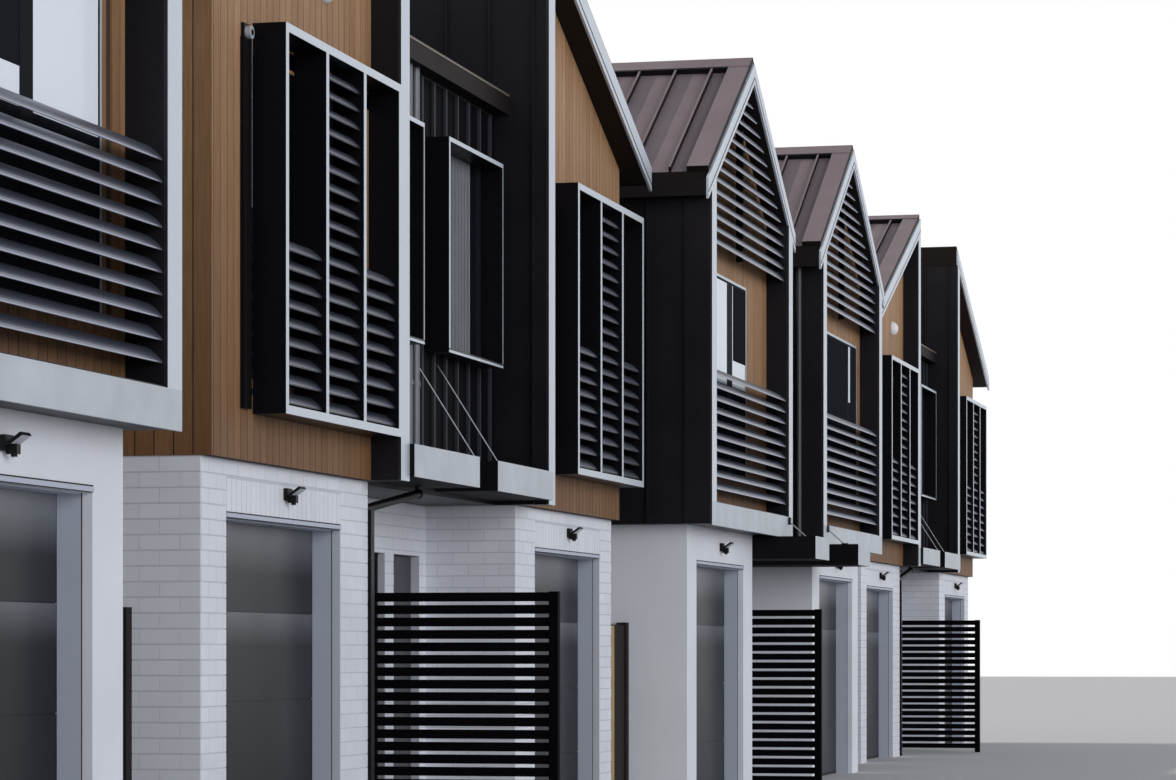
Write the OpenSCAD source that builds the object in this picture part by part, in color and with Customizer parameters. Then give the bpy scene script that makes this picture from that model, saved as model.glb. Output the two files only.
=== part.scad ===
// Row of seven two-storey gabled houses: two kinds of front, joined in pairs by recessed entry links.
// T houses have a brick base, timber boards and a half gable.
// L houses have a plaster base and a louvre gable.
// Each house is drawn once from its link side outwards, then placed or mirrored along the row.

/* [Row] */
// Width of a T house, from the face of its link wall to its outer wall
t_width = 3170; // [3000:10:3300]
// Width of an L house, over both fins
l_width = 3880; // [3700:10:3950]
// Width of the link between two T houses
t_link = 3640; // [3500:10:3700]
// Width of the link between two L houses
l_link = 1760; // [1600:10:1900]
// Side gap between the first L house and the T pair
gap_first = 2120; // [1500:10:2200]
// Side gap between the T pair and the L pair
gap_second = 920; // [860:10:1200]
// Side gap between the L pair and the last T pair
gap_third = 2700; // [2000:10:2800]
// Depth of the brick houses from front face to rear face
house_depth = 8500; // [7500:50:9000]

/* [Ground storey] */
// Height of the masonry base
base_h = 2430; // [2350:10:2500]
// Thickness of every outer wall
wall_t = 250; // [200:10:280]
// How far the L plaster base stands in front of the T brick face
plaster_fwd = 420; // [300:10:450]
// Inset of the T brick base from the link side
t_inset = 40; // [20:5:80]
// Inset of the L plaster base on its link side
l_inset_link = 760; // [650:10:800]
// Inset of the L plaster base on its outer side
l_inset_outer = 150; // [100:10:200]
// Width of a garage opening
garage_w = 2130; // [1900:10:2140]
// Height of a garage opening
garage_h = 2100; // [2000:10:2180]
// Outer pier beside a T garage opening
t_pier = 420; // [350:10:480]
// Outer pier beside an L garage opening
l_pier = 400; // [340:10:420]
// Depth of a garage door behind the wall face
garage_recess = 180; // [100:5:190]
// Thickness of a garage door
garage_door_t = 45; // [35:5:60]
// Width of the rear garden door opening
rear_door_w = 1800; // [1500:10:1900]

/* [Entry link] */
// Setback of the entry wall behind the brick face
entry_setback = 690; // [500:10:900]
// Pier between a house and its entry door
entry_pier = 180; // [150:10:220]
// Width of an entry door opening
entry_door_w = 660; // [620:10:740]
// Pier between an entry door and its sidelight
entry_mid_pier = 220; // [180:10:260]
// Width of the pier on the link centre line
entry_centre_pier = 240; // [200:10:280]
// Height of entry doors and sidelights
entry_h = 2050; // [1980:10:2100]
// Running gap round the hinged entry door leaf
door_gap = 8; // [6:1:12]
// Thickness of a door leaf
door_t = 44; // [38:1:55]
// Thickness of the ground slab
slab_t = 100; // [60:10:150]

/* [Upper storey] */
// Depth of the storey floor
floor_t = 200; // [180:10:240]
// How far the timber wall stands in front of the brick face
timber_fwd = 60; // [40:5:90]
// How far the T fin stands in front of the brick face
t_fin_fwd = 250; // [200:10:280]
// How far the L fins stand in front of the brick face
l_fin_fwd = 650; // [600:10:700]
// Width of a T fin
t_fin_w = 190; // [160:5:220]
// Width of an L fin
l_fin_w = 200; // [180:5:220]
// Setback of the upper link wall behind the brick face
link_setback = 150; // [120:5:200]
// Thickness of the silver edge trims
trim_t = 20; // [15:1:30]
// Height of the top of the half gable
t_high = 6870; // [6700:10:7000]
// Fall of the half gable for each unit of width
t_fall = 0.42; // [0.38:0.01:0.44]
// Depth of the T roof, measured upright
t_roof_d = 200; // [170:10:230]
// Eave overhang of a T house
t_eave = 350; // [250:10:380]
// Height of the L ridge above the timber band over the window
l_gable_h = 1790; // [1700:10:1850]
// Fall of the L roof for each unit of width
l_fall = 0.62; // [0.58:0.01:0.64]
// Depth of the L roof, measured upright
l_roof_d = 180; // [160:10:200]
// Eave overhang of an L house
l_eave = 150; // [130:5:180]
// Height of the T link wall above its window heads
link_head_h = 400; // [300:10:430]
// Drop from the underside of the L eaves to the wall top of the L link
l_link_drop = 324; // [300:1:460]
// Rise of a link roof to its ridge
link_rise = 160; // [100:10:180]

/* [Windows] */
// Width of the T bedroom window
t_win_w = 1900; // [1700:10:2000]
// Distance of the T bedroom window from the link side
t_win_u = 600; // [500:10:700]
// Sill height of upper windows
win_sill = 2900; // [2850:10:3000]
// Head height of the T bedroom window
t_win_head = 4750; // [4600:10:4800]
// Width of the L bedroom window
l_win_w = 2200; // [2000:10:2300]
// Timber between the L bedroom window and the outer fin
l_win_side = 250; // [200:10:320]
// Head height of the L bedroom window
l_win_head = 4700; // [4600:10:4760]
// Timber band over the L bedroom window
l_head_band = 160; // [120:10:200]
// Width of the first window of a T link
link_win_a = 1200; // [1100:10:1250]
// Start of the second window of a T link
link_win_b_u = 1810; // [1760:10:1850]
// Width of the second window of a T link
link_win_b = 1450; // [1400:10:1550]
// Sill height of the T link windows
link_win_sill = 3410; // [3350:10:3450]
// Head height of the T link windows
link_win_head = 4900; // [4800:10:4950]
// Thickness of a glazed pane with its sash
pane_t = 40; // [30:1:50]

/* [Sliding screen box] */
// Width of a screen box
box_w = 2300; // [2200:10:2340]
// Height of a screen box
box_h = 2230; // [2100:10:2280]
// Height of the underside of a screen box
box_z = 2700; // [2660:10:2740]
// Depth of a screen box
box_d = 200; // [180:5:205]
// Width of the frame bars and mullions of a screen box
box_edge = 50; // [40:1:55]
// Height of the blade field in the side bays
box_low_h = 1080; // [950:10:1150]
// Pitch of the screen blades
box_pitch = 110; // [104:1:116]

/* [Blades] */
// Chord of every blade
blade_chord = 125; // [110:1:130]
// Thickness of every blade at its middle
blade_t = 28; // [22:1:32]
// Fall of the balustrade and screen blades towards the front, in degrees
blade_tilt = 40; // [36:1:44]
// Fall of the gable blades towards the front, in degrees
gable_tilt = 50; // [45:1:54]
// Number of balustrade blades
rail_count = 10; // [9:1:10]
// Pitch of the balustrade blades
rail_pitch = 109; // [104:1:112]
// Height of the middle of the lowest balustrade blade
rail_z = 2780; // [2760:5:2800]
// Height of the lowest gable blade above the timber wall
louvre_foot = 50; // [45:5:60]
// Pitch of the gable blades
louvre_pitch = 108; // [104:1:115]

/* [Entry canopies] */
// Depth of a canopy tray
canopy_d = 210; // [190:5:230]
// Height of the underside of a T canopy
canopy_z = 2460; // [2450:5:2480]
// Length of a T canopy
canopy_w = 1580; // [1450:10:1620]
// How far a T canopy reaches in front of the brick face
canopy_fwd = 300; // [280:10:330]
// How far an L canopy reaches in front of the brick face
l_canopy_fwd = 1020; // [950:10:1050]
// Height of the upper end of a T canopy stay
stay_top = 3340; // [3300:10:3380]
// Diameter of a canopy stay
stay_d = 12; // [10:1:16]
// Diameter of the round plates of the L canopy stays
plate_d = 56; // [40:2:70]

/* [Fences] */
// Height of the slatted screen fence
fence_h = 1750; // [1650:10:1800]
// Reach of the slatted fence in front of the brick face
fence_fwd = 800; // [750:10:850]
// Height of a fence slat
slat_h = 62; // [55:1:68]
// Pitch of the fence slats
slat_pitch = 86; // [82:1:92]
// Height of a side gap fence
side_fence_h = 1590; // [1500:10:1700]
// Setback of the first side gap fence
side_fence_first = 400; // [300:10:500]
// Setback of the second side gap fence
side_fence_second = 90; // [60:10:200]
// Setback of the third side gap fence
side_fence_third = 250; // [150:10:400]

/* [Hidden] */
// Places of the link side face of each house along the row, with the first house at zero
x_l1 = 0;
x_t2 = x_l1 + l_width + gap_first + t_width;
x_t3 = x_t2 + t_link;
x_l4 = x_t3 + t_width + gap_second + l_width;
x_l5 = x_l4 + l_link;
x_t6 = x_l5 + l_width + gap_third + t_width;
x_t7 = x_t6 + t_link;
row_end = x_t7 + t_width;
// Each entry is the place of the link side face and the direction in which the house is drawn
T_HOUSES = [[x_t2, -1], [x_t3, 1], [x_t6, -1], [x_t7, 1]];
L_HOUSES = [[x_l1, 1], [x_l4, -1], [x_l5, 1]];
T_LINKS = [x_t2, x_t6];
L_LINKS = [x_l4];
// Start, width and fence setback of each side gap, and how far the ground walls lie beyond its two ends
SIDE_GAPS = [
    [x_l1 + l_width, gap_first, side_fence_first, l_inset_outer, 0],
    [x_t3 + t_width, gap_second, side_fence_second, 0, l_inset_outer],
    [x_l5 + l_width, gap_third, side_fence_third, l_inset_outer, 0]
];
timber_back = house_depth + timber_fwd;
roof_back = timber_back + t_fin_fwd - timber_fwd;
// Frame of the whole row: the middle of its box, at ground level
x_mid = (row_end + t_eave - l_eave) / 2;
y_mid = (roof_back + trim_t - l_canopy_fwd) / 2;
// Garage openings, measured from the link side
t_garage_u = t_width - t_pier - garage_w;
l_garage_u = l_width - l_inset_outer - l_pier - garage_w;
l_win_u = l_width - l_fin_w - l_win_side - l_win_w;
floor_z = base_h + floor_t;
// Small lap of a trim past the piece that it covers
lap = 10;
sill_top = floor_z - lap;
l_mid = l_width / 2;
// Wall tops of the L houses and of the two links, and the L ridge
l_wall_top = l_win_head + l_head_band;
l_ridge = l_wall_top + l_gable_h;
t_link_h = link_win_head + link_head_h;
l_link_h = l_under(-l_eave) - l_link_drop;
gutter_w = 115;
gutter_h = 150;
gutter_t = 3;
eps = 1;
$fn = 32;

// Undersides and tops of the two roofs at a distance u from the link side
function t_top(u) = t_high - t_fall * u;
function t_under(u) = t_top(u) - t_roof_d;
function l_top(u) = l_ridge - l_fall * abs(u - l_mid);
function l_under(u) = l_top(u) - l_roof_d;

// Puts the row's frame at the middle of its box
module row() {
    translate([-x_mid, -y_mid, 0]) children();
}

// Draws a house from its link side face outwards
module house(h) {
    translate([h[0], 0, 0])
        if (h[1] < 0) mirror([1, 0, 0]) children();
        else children();
}

module t_houses() {
    row() for (h = T_HOUSES) house(h) children();
}

module l_houses() {
    row() for (h = L_HOUSES) house(h) children();
}

module t_links() {
    row() for (x = T_LINKS) translate([x, 0, 0]) children();
}

module l_links() {
    row() for (x = L_LINKS) translate([x, 0, 0]) children();
}

// Box between two corners
module block(u0, u1, y0, y1, z0, z1) {
    translate([u0, y0, z0]) cube([u1 - u0, y1 - y0, z1 - z0]);
}

// Upright slab with an outline in the plane of the front
module front_slab(points, y0, y1) {
    translate([0, y1, 0]) rotate([90, 0, 0]) linear_extrude(y1 - y0) polygon(points);
}

// Blade section: a slim oval, drawn as an even ring of points
blade_points = 16;

module blade_section() {
    step = 360 / blade_points;
    polygon([for (i = [0:blade_points - 1])
        [blade_chord / 2 * cos(i * step), blade_t / 2 * sin(i * step)]]);
}

// Half the height and half the depth that a tilted blade takes up
function blade_rise(tilt) = norm([blade_chord / 2 * sin(tilt), blade_t / 2 * cos(tilt)]);
function blade_reach(tilt) = norm([blade_chord / 2 * cos(tilt), blade_t / 2 * sin(tilt)]);

// Blade along the row, tilted down towards the front, about its middle line
module blade(u0, u1, y, z, tilt) {
    translate([u0, y, z]) rotate([90, 0, 90]) linear_extrude(u1 - u0)
        rotate(tilt) blade_section();
}

module brick_side_walls() {
    color("#d8d9dd") t_houses() {
        block(t_inset, t_inset + wall_t, 0, house_depth, 0, base_h);
        block(t_width - wall_t, t_width, 0, house_depth, 0, base_h);
    }
}

rear_u0 = (t_width - rear_door_w) / 2;

module brick_piers() {
    color("#dcdde0") t_houses() {
        block(t_inset + wall_t, t_garage_u, 0, wall_t, 0, base_h);
        block(t_garage_u + garage_w, t_width - wall_t, 0, wall_t, 0, base_h);
        block(t_inset + wall_t, rear_u0, house_depth - wall_t, house_depth, 0, base_h);
        block(rear_u0 + rear_door_w, t_width - wall_t, house_depth - wall_t, house_depth, 0, base_h);
    }
}

module brick_lintels() {
    color("#e0e1e4") t_houses() {
        block(t_garage_u, t_garage_u + garage_w, 0, wall_t, garage_h, base_h);
        block(rear_u0, rear_u0 + rear_door_w, house_depth - wall_t, house_depth, garage_h, base_h);
    }
}

l_left = l_inset_link;
l_right = l_width - l_inset_outer;
l_rear_u0 = (l_left + l_right - rear_door_w) / 2;

module plaster_side_walls() {
    color("#d2d4da") l_houses() {
        block(l_left, l_left + wall_t, -plaster_fwd, house_depth, 0, base_h);
        block(l_right - wall_t, l_right, -plaster_fwd, house_depth, 0, base_h);
    }
}

module plaster_piers() {
    y0 = -plaster_fwd;
    color("#d6d8de") l_houses() {
        block(l_left + wall_t, l_garage_u, y0, y0 + wall_t, 0, base_h);
        block(l_garage_u + garage_w, l_right - wall_t, y0, y0 + wall_t, 0, base_h);
        block(l_left + wall_t, l_rear_u0, house_depth - wall_t, house_depth, 0, base_h);
        block(l_rear_u0 + rear_door_w, l_right - wall_t, house_depth - wall_t, house_depth, 0, base_h);
    }
}

module plaster_lintels() {
    y0 = -plaster_fwd;
    color("#dadce2") l_houses() {
        block(l_garage_u, l_garage_u + garage_w, y0, y0 + wall_t, garage_h, base_h);
        block(l_rear_u0, l_rear_u0 + rear_door_w, house_depth - wall_t, house_depth, garage_h, base_h);
    }
}

// Half of an entry wall, from the house return wall inwards to the link centre line
door_u0 = entry_pier;
door_u1 = door_u0 + entry_door_w;
light_u0 = door_u1 + entry_mid_pier;
function light_u1(half) = half - entry_centre_pier / 2;
// Half widths of the two kinds of entry wall
t_half = t_link / 2 + t_inset;
l_half = l_link / 2 + l_inset_link;

// Draws both halves of every link, the right one mirrored
module entry_halves() {
    row() {
        for (x = T_LINKS) {
            translate([x - t_inset, 0, 0]) children(0);
            translate([x + t_link + t_inset, 0, 0]) mirror([1, 0, 0]) children(0);
        }
        for (x = L_LINKS) {
            translate([x - l_inset_link, 0, 0]) children(1);
            translate([x + l_link + l_inset_link, 0, 0]) mirror([1, 0, 0]) children(1);
        }
    }
}

module entry_half_piers() {
    y0 = entry_setback;
    block(0, door_u0, y0, y0 + wall_t, 0, entry_h);
    block(door_u1, light_u0, y0, y0 + wall_t, 0, entry_h);
}

module entry_centre(half) {
    block(light_u1(half), half, entry_setback, entry_setback + wall_t, 0, entry_h);
}

module entry_half_sills(half) {
    y0 = entry_setback;
    block(door_u0, door_u1, y0, y0 + wall_t, 0, slab_t);
    block(light_u0, light_u1(half), y0, y0 + wall_t, 0, slab_t);
}

module entry_piers() {
    color("#cfd0d4") {
        entry_halves() {
            entry_half_piers();
            entry_half_piers();
        }
        entry_halves() {
            entry_centre(t_half);
            entry_centre(l_half);
        }
    }
}

module entry_heads_and_sills() {
    y0 = entry_setback;
    color("#d3d4d8") row() {
        for (x = T_LINKS) block(x - t_inset, x + t_link + t_inset, y0, y0 + wall_t, entry_h, base_h);
        for (x = L_LINKS)
            block(x - l_inset_link, x + l_link + l_inset_link, y0, y0 + wall_t, entry_h, base_h);
    }
    color("#9a9a98") entry_halves() {
        entry_half_sills(t_half);
        entry_half_sills(l_half);
    }
}

module link_rear_walls() {
    y0 = house_depth - wall_t;
    color("#d8d9dd") row() {
        for (x = T_LINKS) block(x - t_inset, x + t_link + t_inset, y0, house_depth, 0, base_h);
        for (x = L_LINKS)
            block(x - l_inset_link, x + l_link + l_inset_link, y0, house_depth, 0, base_h);
    }
}

module ground_slabs() {
    y1 = house_depth - wall_t;
    color("#9a9a98") {
        t_houses() block(t_inset + wall_t, t_width - wall_t, wall_t, y1, 0, slab_t);
        l_houses() block(l_left + wall_t, l_right - wall_t, wall_t - plaster_fwd, y1, 0, slab_t);
        row() {
            for (x = T_LINKS)
                block(x - t_inset, x + t_link + t_inset, entry_setback + wall_t, y1, 0, slab_t);
            for (x = L_LINKS)
                block(x - l_inset_link, x + l_link + l_inset_link, entry_setback + wall_t, y1, 0, slab_t);
        }
    }
}

// Sectional door of four panels, with a groove at each joint
garage_panels = 4;
groove = 8;

module garage_leaf(u0, y_face) {
    panel_h = garage_h / garage_panels;
    difference() {
        block(u0, u0 + garage_w, y_face + garage_recess, y_face + garage_recess + garage_door_t,
            0, garage_h);
        for (i = [1:garage_panels - 1])
            block(u0 - eps, u0 + garage_w + eps, y_face + garage_recess - eps,
                y_face + garage_recess + groove, i * panel_h - groove / 2, i * panel_h + groove / 2);
    }
}

module garage_doors() {
    color("#4b4e52") {
        t_houses() garage_leaf(t_garage_u, 0);
        l_houses() garage_leaf(l_garage_u, -plaster_fwd);
    }
}

// Entry door leaf with its pull, drawn in the first half of a link; the hinge is at the house pier
door_recess = 60;
pull_w = 30;
pull_h = 600;
pull_d = 45;
pull_z = 800;
pull_edge = 30;
door_foot = slab_t + door_gap;
// Hinge knuckles turn on the pier side of the leaf, a hair clear of the pier
hinge_clear = 0.3;
knuckle_d = 14;
knuckle_h = 100;
hinge_u = door_u0 + hinge_clear + knuckle_d / 2;
hinge_y = entry_setback + door_recess + door_t + knuckle_d / 2;
HINGE_HEIGHTS = [250, 1025, 1800];

module door_leaf(gap) {
    y0 = entry_setback + door_recess;
    block(door_u0 + gap, door_u1 - gap, y0, y0 + door_t, door_foot, entry_h - gap);
    pull_u = door_u1 - gap - pull_edge;
    block(pull_u - pull_w, pull_u, y0 - pull_d, y0, pull_z, pull_z + pull_h);
}

// Knuckle with its short arm to the back of the leaf
hinge_arm = 60;
hinge_arm_t = 4;

module hinge(z) {
    y0 = hinge_y - knuckle_d / 2;
    translate([hinge_u, hinge_y, z]) cylinder(h = knuckle_h, d = knuckle_d);
    block(hinge_u, hinge_u + hinge_arm, y0 - eps, y0 + hinge_arm_t, z, z + knuckle_h);
}

// The one door that is seen: the right half of the first link
module entry_door() {
    color("#3a3d40") row()
        translate([x_t2 + t_link + t_inset, 0, 0]) mirror([1, 0, 0]) {
            door_leaf(door_gap);
            for (z = HINGE_HEIGHTS) hinge(z);
        }
}

module entry_doors_shut() {
    color("#3a3d40") row() {
        for (x = T_LINKS) translate([x - t_inset, 0, 0]) door_leaf(0);
        translate([x_t6 + t_link + t_inset, 0, 0]) mirror([1, 0, 0]) door_leaf(0);
        translate([x_l4 - l_inset_link, 0, 0]) door_leaf(0);
        translate([x_l4 + l_link + l_inset_link, 0, 0]) mirror([1, 0, 0]) door_leaf(0);
    }
}

module sidelight(half) {
    y0 = entry_setback + door_recess;
    block(light_u0, light_u1(half), y0, y0 + pane_t, slab_t, entry_h);
}

module entry_sidelights() {
    color("#565b62") entry_halves() {
        sidelight(t_half);
        sidelight(l_half);
    }
}

module rear_doors() {
    y0 = house_depth - wall_t / 2;
    color("#565b62") {
        t_houses() block(rear_u0, rear_u0 + rear_door_w, y0, y0 + pane_t, 0, garage_h);
        l_houses() block(l_rear_u0, l_rear_u0 + rear_door_w, y0, y0 + pane_t, 0, garage_h);
    }
}

module floor_decks() {
    color("#2a2a2e") {
        t_houses()
            block(t_fin_w, t_width - wall_t, wall_t - timber_fwd, timber_back - wall_t, base_h, floor_z);
        l_houses() block(l_fin_w, l_width - l_fin_w, -l_fin_fwd, timber_back, base_h, floor_z);
        row() {
            for (x = T_LINKS) block(x, x + t_link, link_setback, timber_back, base_h, floor_z);
            for (x = L_LINKS) block(x, x + l_link, link_setback, timber_back, base_h, floor_z);
        }
    }
}

// Timber wall faces of the two kinds of house
t_face = -timber_fwd;
l_timber_fwd = 20;
l_face = -plaster_fwd - l_timber_fwd;

// Wall piece under the half gable, between two distances from the link side
module t_gable_slab(u0, u1, y0, z0) {
    front_slab([[u0, z0], [u1, z0], [u1, t_under(u1)], [u0, t_under(u0)]], y0, y0 + wall_t);
}

module timber_piers() {
    rear = timber_back - wall_t;
    color("#a8815b") {
        t_houses() for (y0 = [t_face, rear]) {
            t_gable_slab(t_fin_w, t_win_u, y0, base_h);
            t_gable_slab(t_win_u + t_win_w, t_width - wall_t, y0, base_h);
        }
        l_houses() for (y0 = [l_face, rear]) {
            block(l_fin_w, l_win_u, y0, y0 + wall_t, floor_z, l_wall_top);
            block(l_win_u + l_win_w, l_width - l_fin_w, y0, y0 + wall_t, floor_z, l_wall_top);
        }
    }
}

module timber_infills() {
    rear = timber_back - wall_t;
    color("#ac855f") {
        t_houses() for (y0 = [t_face, rear]) {
            t_gable_slab(t_win_u, t_win_u + t_win_w, y0, t_win_head);
            block(t_win_u, t_win_u + t_win_w, y0, y0 + wall_t, base_h, win_sill);
        }
        l_houses() for (y0 = [l_face, rear]) {
            block(l_win_u, l_win_u + l_win_w, y0, y0 + wall_t, l_win_head, l_wall_top);
            block(l_win_u, l_win_u + l_win_w, y0, y0 + wall_t, floor_z, win_sill);
        }
    }
}

module timber_side_walls() {
    color("#9c7550") t_houses() front_slab(
        [[t_width - wall_t, base_h], [t_width, base_h],
        [t_width, t_under(t_width)], [t_width - wall_t, t_under(t_width - wall_t)]],
        t_face, timber_back);
}

module clad_side_walls() {
    color("#1c1c21") {
        t_houses()
            front_slab([[0, base_h], [t_fin_w, base_h], [t_fin_w, t_under(t_fin_w)], [0, t_under(0)]],
                -t_fin_fwd, roof_back);
        l_houses() for (u = [0, l_width - l_fin_w])
            front_slab([[u, base_h], [u + l_fin_w, base_h],
                [u + l_fin_w, l_under(u + l_fin_w)], [u, l_under(u)]],
                -l_fin_fwd, timber_back);
    }
}

module gable_walls() {
    u0 = l_fin_w;
    u1 = l_width - l_fin_w;
    color("#222226") l_houses() for (y0 = [l_face, timber_back - wall_t])
        front_slab([[u0, l_wall_top], [u1, l_wall_top], [u1, l_under(u1)], [l_mid, l_under(l_mid)],
            [u0, l_under(u0)]], y0, y0 + wall_t);
}

// Windows of the T link: start and width of each, from the left end of the link
LINK_WINDOWS = [[0, link_win_a], [link_win_b_u, link_win_b]];
link_wall_t = 200;
box_sheet = 30;

module link_piers() {
    y0 = link_setback;
    a = LINK_WINDOWS[0];
    b = LINK_WINDOWS[1];
    color("#1f1f24") row() {
        for (x = T_LINKS) translate([x, 0, 0]) {
            block(a[0] + a[1] - box_sheet, b[0] + box_sheet, y0, y0 + link_wall_t, floor_z, t_link_h);
            block(b[0] + b[1] - box_sheet, t_link, y0, y0 + link_wall_t, floor_z, t_link_h);
            block(0, t_link, timber_back - link_wall_t, timber_back, floor_z, t_link_h);
        }
        for (x = L_LINKS) translate([x, 0, 0]) {
            block(0, l_link, y0, y0 + link_wall_t, floor_z, l_link_h);
            block(0, l_link, timber_back - link_wall_t, timber_back, floor_z, l_link_h);
        }
    }
}

module link_infills() {
    y0 = link_setback;
    color("#232328") t_links() for (w = LINK_WINDOWS) {
        u0 = w[0] == 0 ? 0 : w[0] + box_sheet;
        u1 = w[0] + w[1] - box_sheet;
        block(u0, u1, y0, y0 + link_wall_t, floor_z, link_win_sill + box_sheet);
        block(u0, u1, y0, y0 + link_wall_t, link_win_head - box_sheet, t_link_h);
    }
}

// Low roof of a link with its ridge along the row
module link_roof(len, z0) {
    y0 = link_setback;
    y1 = timber_back;
    edge = 60;
    rotate([90, 0, 90]) linear_extrude(len)
        polygon([[y0, z0], [y1, z0], [y1, z0 + edge], [(y0 + y1) / 2, z0 + link_rise], [y0, z0 + edge]]);
}

module link_roofs() {
    color("#3a3437") {
        t_links() link_roof(t_link, t_link_h);
        l_links() link_roof(l_link, l_link_h);
    }
}

module half_gable_roofs() {
    u1 = t_width + t_eave - gutter_w;
    color("#5d4f51") t_houses()
        front_slab([[0, t_under(0)], [u1, t_under(u1)], [u1, t_top(u1)], [0, t_top(0)]],
            -t_fin_fwd, roof_back);
}

// Outline of one slope, from the ridge to a distance u
function l_slope(u) = [[l_mid, l_under(l_mid)], [u, l_under(u)], [u, l_top(u)], [l_mid, l_top(l_mid)]];

module l_roof_slope(u_eave) {
    front_slab(l_slope(u_eave), -l_fin_fwd, roof_back);
}

module gable_roofs_link_side() {
    color("#5d4f51") l_houses() l_roof_slope(-l_eave + gutter_w);
}

module gable_roofs_outer_side() {
    color("#64565a") l_houses() l_roof_slope(l_width + l_eave - gutter_w);
}

// Silver edge boards on the roof ends
module t_barge(y0) {
    u1 = t_width + t_eave;
    front_slab([[0, t_under(0)], [u1, t_under(u1)], [u1, t_top(u1)], [0, t_top(0)]], y0, y0 + trim_t);
}

module l_barge(u_end, y0) {
    front_slab(l_slope(u_end), y0, y0 + trim_t);
}

module barge_boards() {
    color("#c4ccd6") {
        t_houses() {
            t_barge(-t_fin_fwd - trim_t);
            t_barge(roof_back);
        }
        l_houses() {
            l_barge(-l_eave, -l_fin_fwd - trim_t);
            l_barge(-l_eave, roof_back);
        }
    }
}

module barge_boards_outer() {
    color("#c4ccd6") l_houses() {
        l_barge(l_width + l_eave, -l_fin_fwd - trim_t);
        l_barge(l_width + l_eave, roof_back);
    }
}

module fin_edges() {
    color("#c8d0da") {
        t_houses()
            front_slab([[0, base_h], [t_fin_w, base_h], [t_fin_w, t_under(t_fin_w)], [0, t_under(0)]],
                -t_fin_fwd - trim_t, -t_fin_fwd);
        l_houses() for (u = [0, l_width - l_fin_w])
            front_slab([[u, sill_top], [u + l_fin_w, sill_top],
                [u + l_fin_w, l_under(u + l_fin_w)], [u, l_under(u)]],
                -l_fin_fwd - trim_t, -l_fin_fwd);
    }
}

module sill_bands() {
    color("#c4ccd6") l_houses()
        block(0, l_width, -l_fin_fwd - trim_t, -l_fin_fwd, base_h - lap, sill_top);
}

// Balustrade: oval blades held between the fins
rail_in = 8;
rail_y = rail_in + blade_reach(blade_tilt);

module balustrade_blades() {
    color("#8d949c") l_houses() for (i = [0:rail_count - 1])
        blade(l_fin_w, l_width - l_fin_w, rail_y - l_fin_fwd, rail_z + i * rail_pitch, blade_tilt);
}

// Gable louvre: tilted blades in front of a middle post, each as long as the slopes of the roof allow
louvre_y = rail_y + lap;
louvre_clear = 5;
post_w = 60;
// The post stands behind the middle line of the blades, so that they run past it in front
post_back = 20;
louvre_z = l_wall_top + louvre_foot;
louvre_count = floor((l_under(l_mid) - louvre_z) / louvre_pitch);

module gable_louvre() {
    blade_y = louvre_y - l_fin_fwd;
    u0 = l_mid - post_w / 2;
    u1 = l_mid + post_w / 2;
    front_slab([[u0, l_wall_top], [u1, l_wall_top], [u1, l_under(u1)], [l_mid, l_under(l_mid)],
        [u0, l_under(u0)]], blade_y + post_back, blade_y + post_back + post_w);
    for (i = [0:louvre_count - 1]) {
        z = louvre_z + i * louvre_pitch;
        headroom = l_under(l_mid) - z - blade_rise(gable_tilt) - louvre_clear;
        reach = min(l_mid - l_fin_w, headroom / l_fall);
        if (reach > post_w) blade(l_mid - reach, l_mid + reach, blade_y, z, gable_tilt);
    }
}

module gable_louvres() {
    color("#6e757d") l_houses() gable_louvre();
}

// Sliding screen box: a deep frame with two mullions, and blades in three bays
box_front = -t_fin_fwd - trim_t;
// Depth of the blades behind the front of the frame
blade_in = 22;
// Lap of the blades into the mullions
blade_lap = 5;
bay_w = (box_w - box_edge) / 3;

module box_blades(bay, height) {
    u0 = box_edge + bay * bay_w;
    n = floor(height / box_pitch);
    for (i = [0:n - 1])
        blade(u0 - blade_lap, u0 + bay_w - box_edge + blade_lap, blade_in + blade_reach(blade_tilt),
            box_edge + (i + 0.5) * box_pitch, blade_tilt);
}

module screen_box() {
    difference() {
        block(0, box_w, 0, box_d, 0, box_h);
        for (bay = [0:2]) translate([bay * bay_w, 0, 0])
            block(box_edge, bay_w, -eps, box_d + eps, box_edge, box_h - box_edge);
    }
    box_blades(0, box_low_h);
    box_blades(1, box_h - 2 * box_edge);
    box_blades(2, box_low_h);
}

// Place of the box from the left end of a T front: against its fin, or past its outer corner
box_past = 40;
box_u_left = [t_width - t_fin_w - box_w, t_width - box_w + box_past];

// Left end of each T house front, and whether its fin is on the right
module t_fronts() {
    row() for (h = T_HOUSES) {
        left = h[1] < 0 ? h[0] - t_width : h[0];
        side = h[1] < 0 ? 0 : 1;
        translate([left + box_u_left[side], box_front, box_z]) children();
    }
}

module screen_boxes() {
    color("#17171b") t_fronts() screen_box();
}

// Rails that carry a screen box off the timber wall
rail_gap = -timber_fwd - box_front - box_d;
rail_bar_h = 100;
rail_bar_in = 60;

module screen_rails() {
    color("#101013") t_fronts()
        for (z = [rail_bar_in, box_h - rail_bar_in - rail_bar_h])
            block(0, box_w, box_d, box_d + rail_gap, z, z + rail_bar_h);
}

// Sheet boxes round the T link windows, each split into sides and caps
link_box_past = 20;
link_box_fwd = link_setback + link_box_past;

module window_box_sides() {
    color("#17171b") t_links() for (w = LINK_WINDOWS)
        for (u = [w[0], w[0] + w[1] - box_sheet])
            block(u, u + box_sheet, link_setback - link_box_fwd, link_setback,
                link_win_sill, link_win_head);
}

module window_box_caps() {
    color("#17171b") t_links() for (w = LINK_WINDOWS)
        for (z = [link_win_sill, link_win_head - box_sheet])
            block(w[0] + box_sheet, w[0] + w[1] - box_sheet, link_setback - link_box_fwd, link_setback,
                z, z + box_sheet);
}

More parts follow.
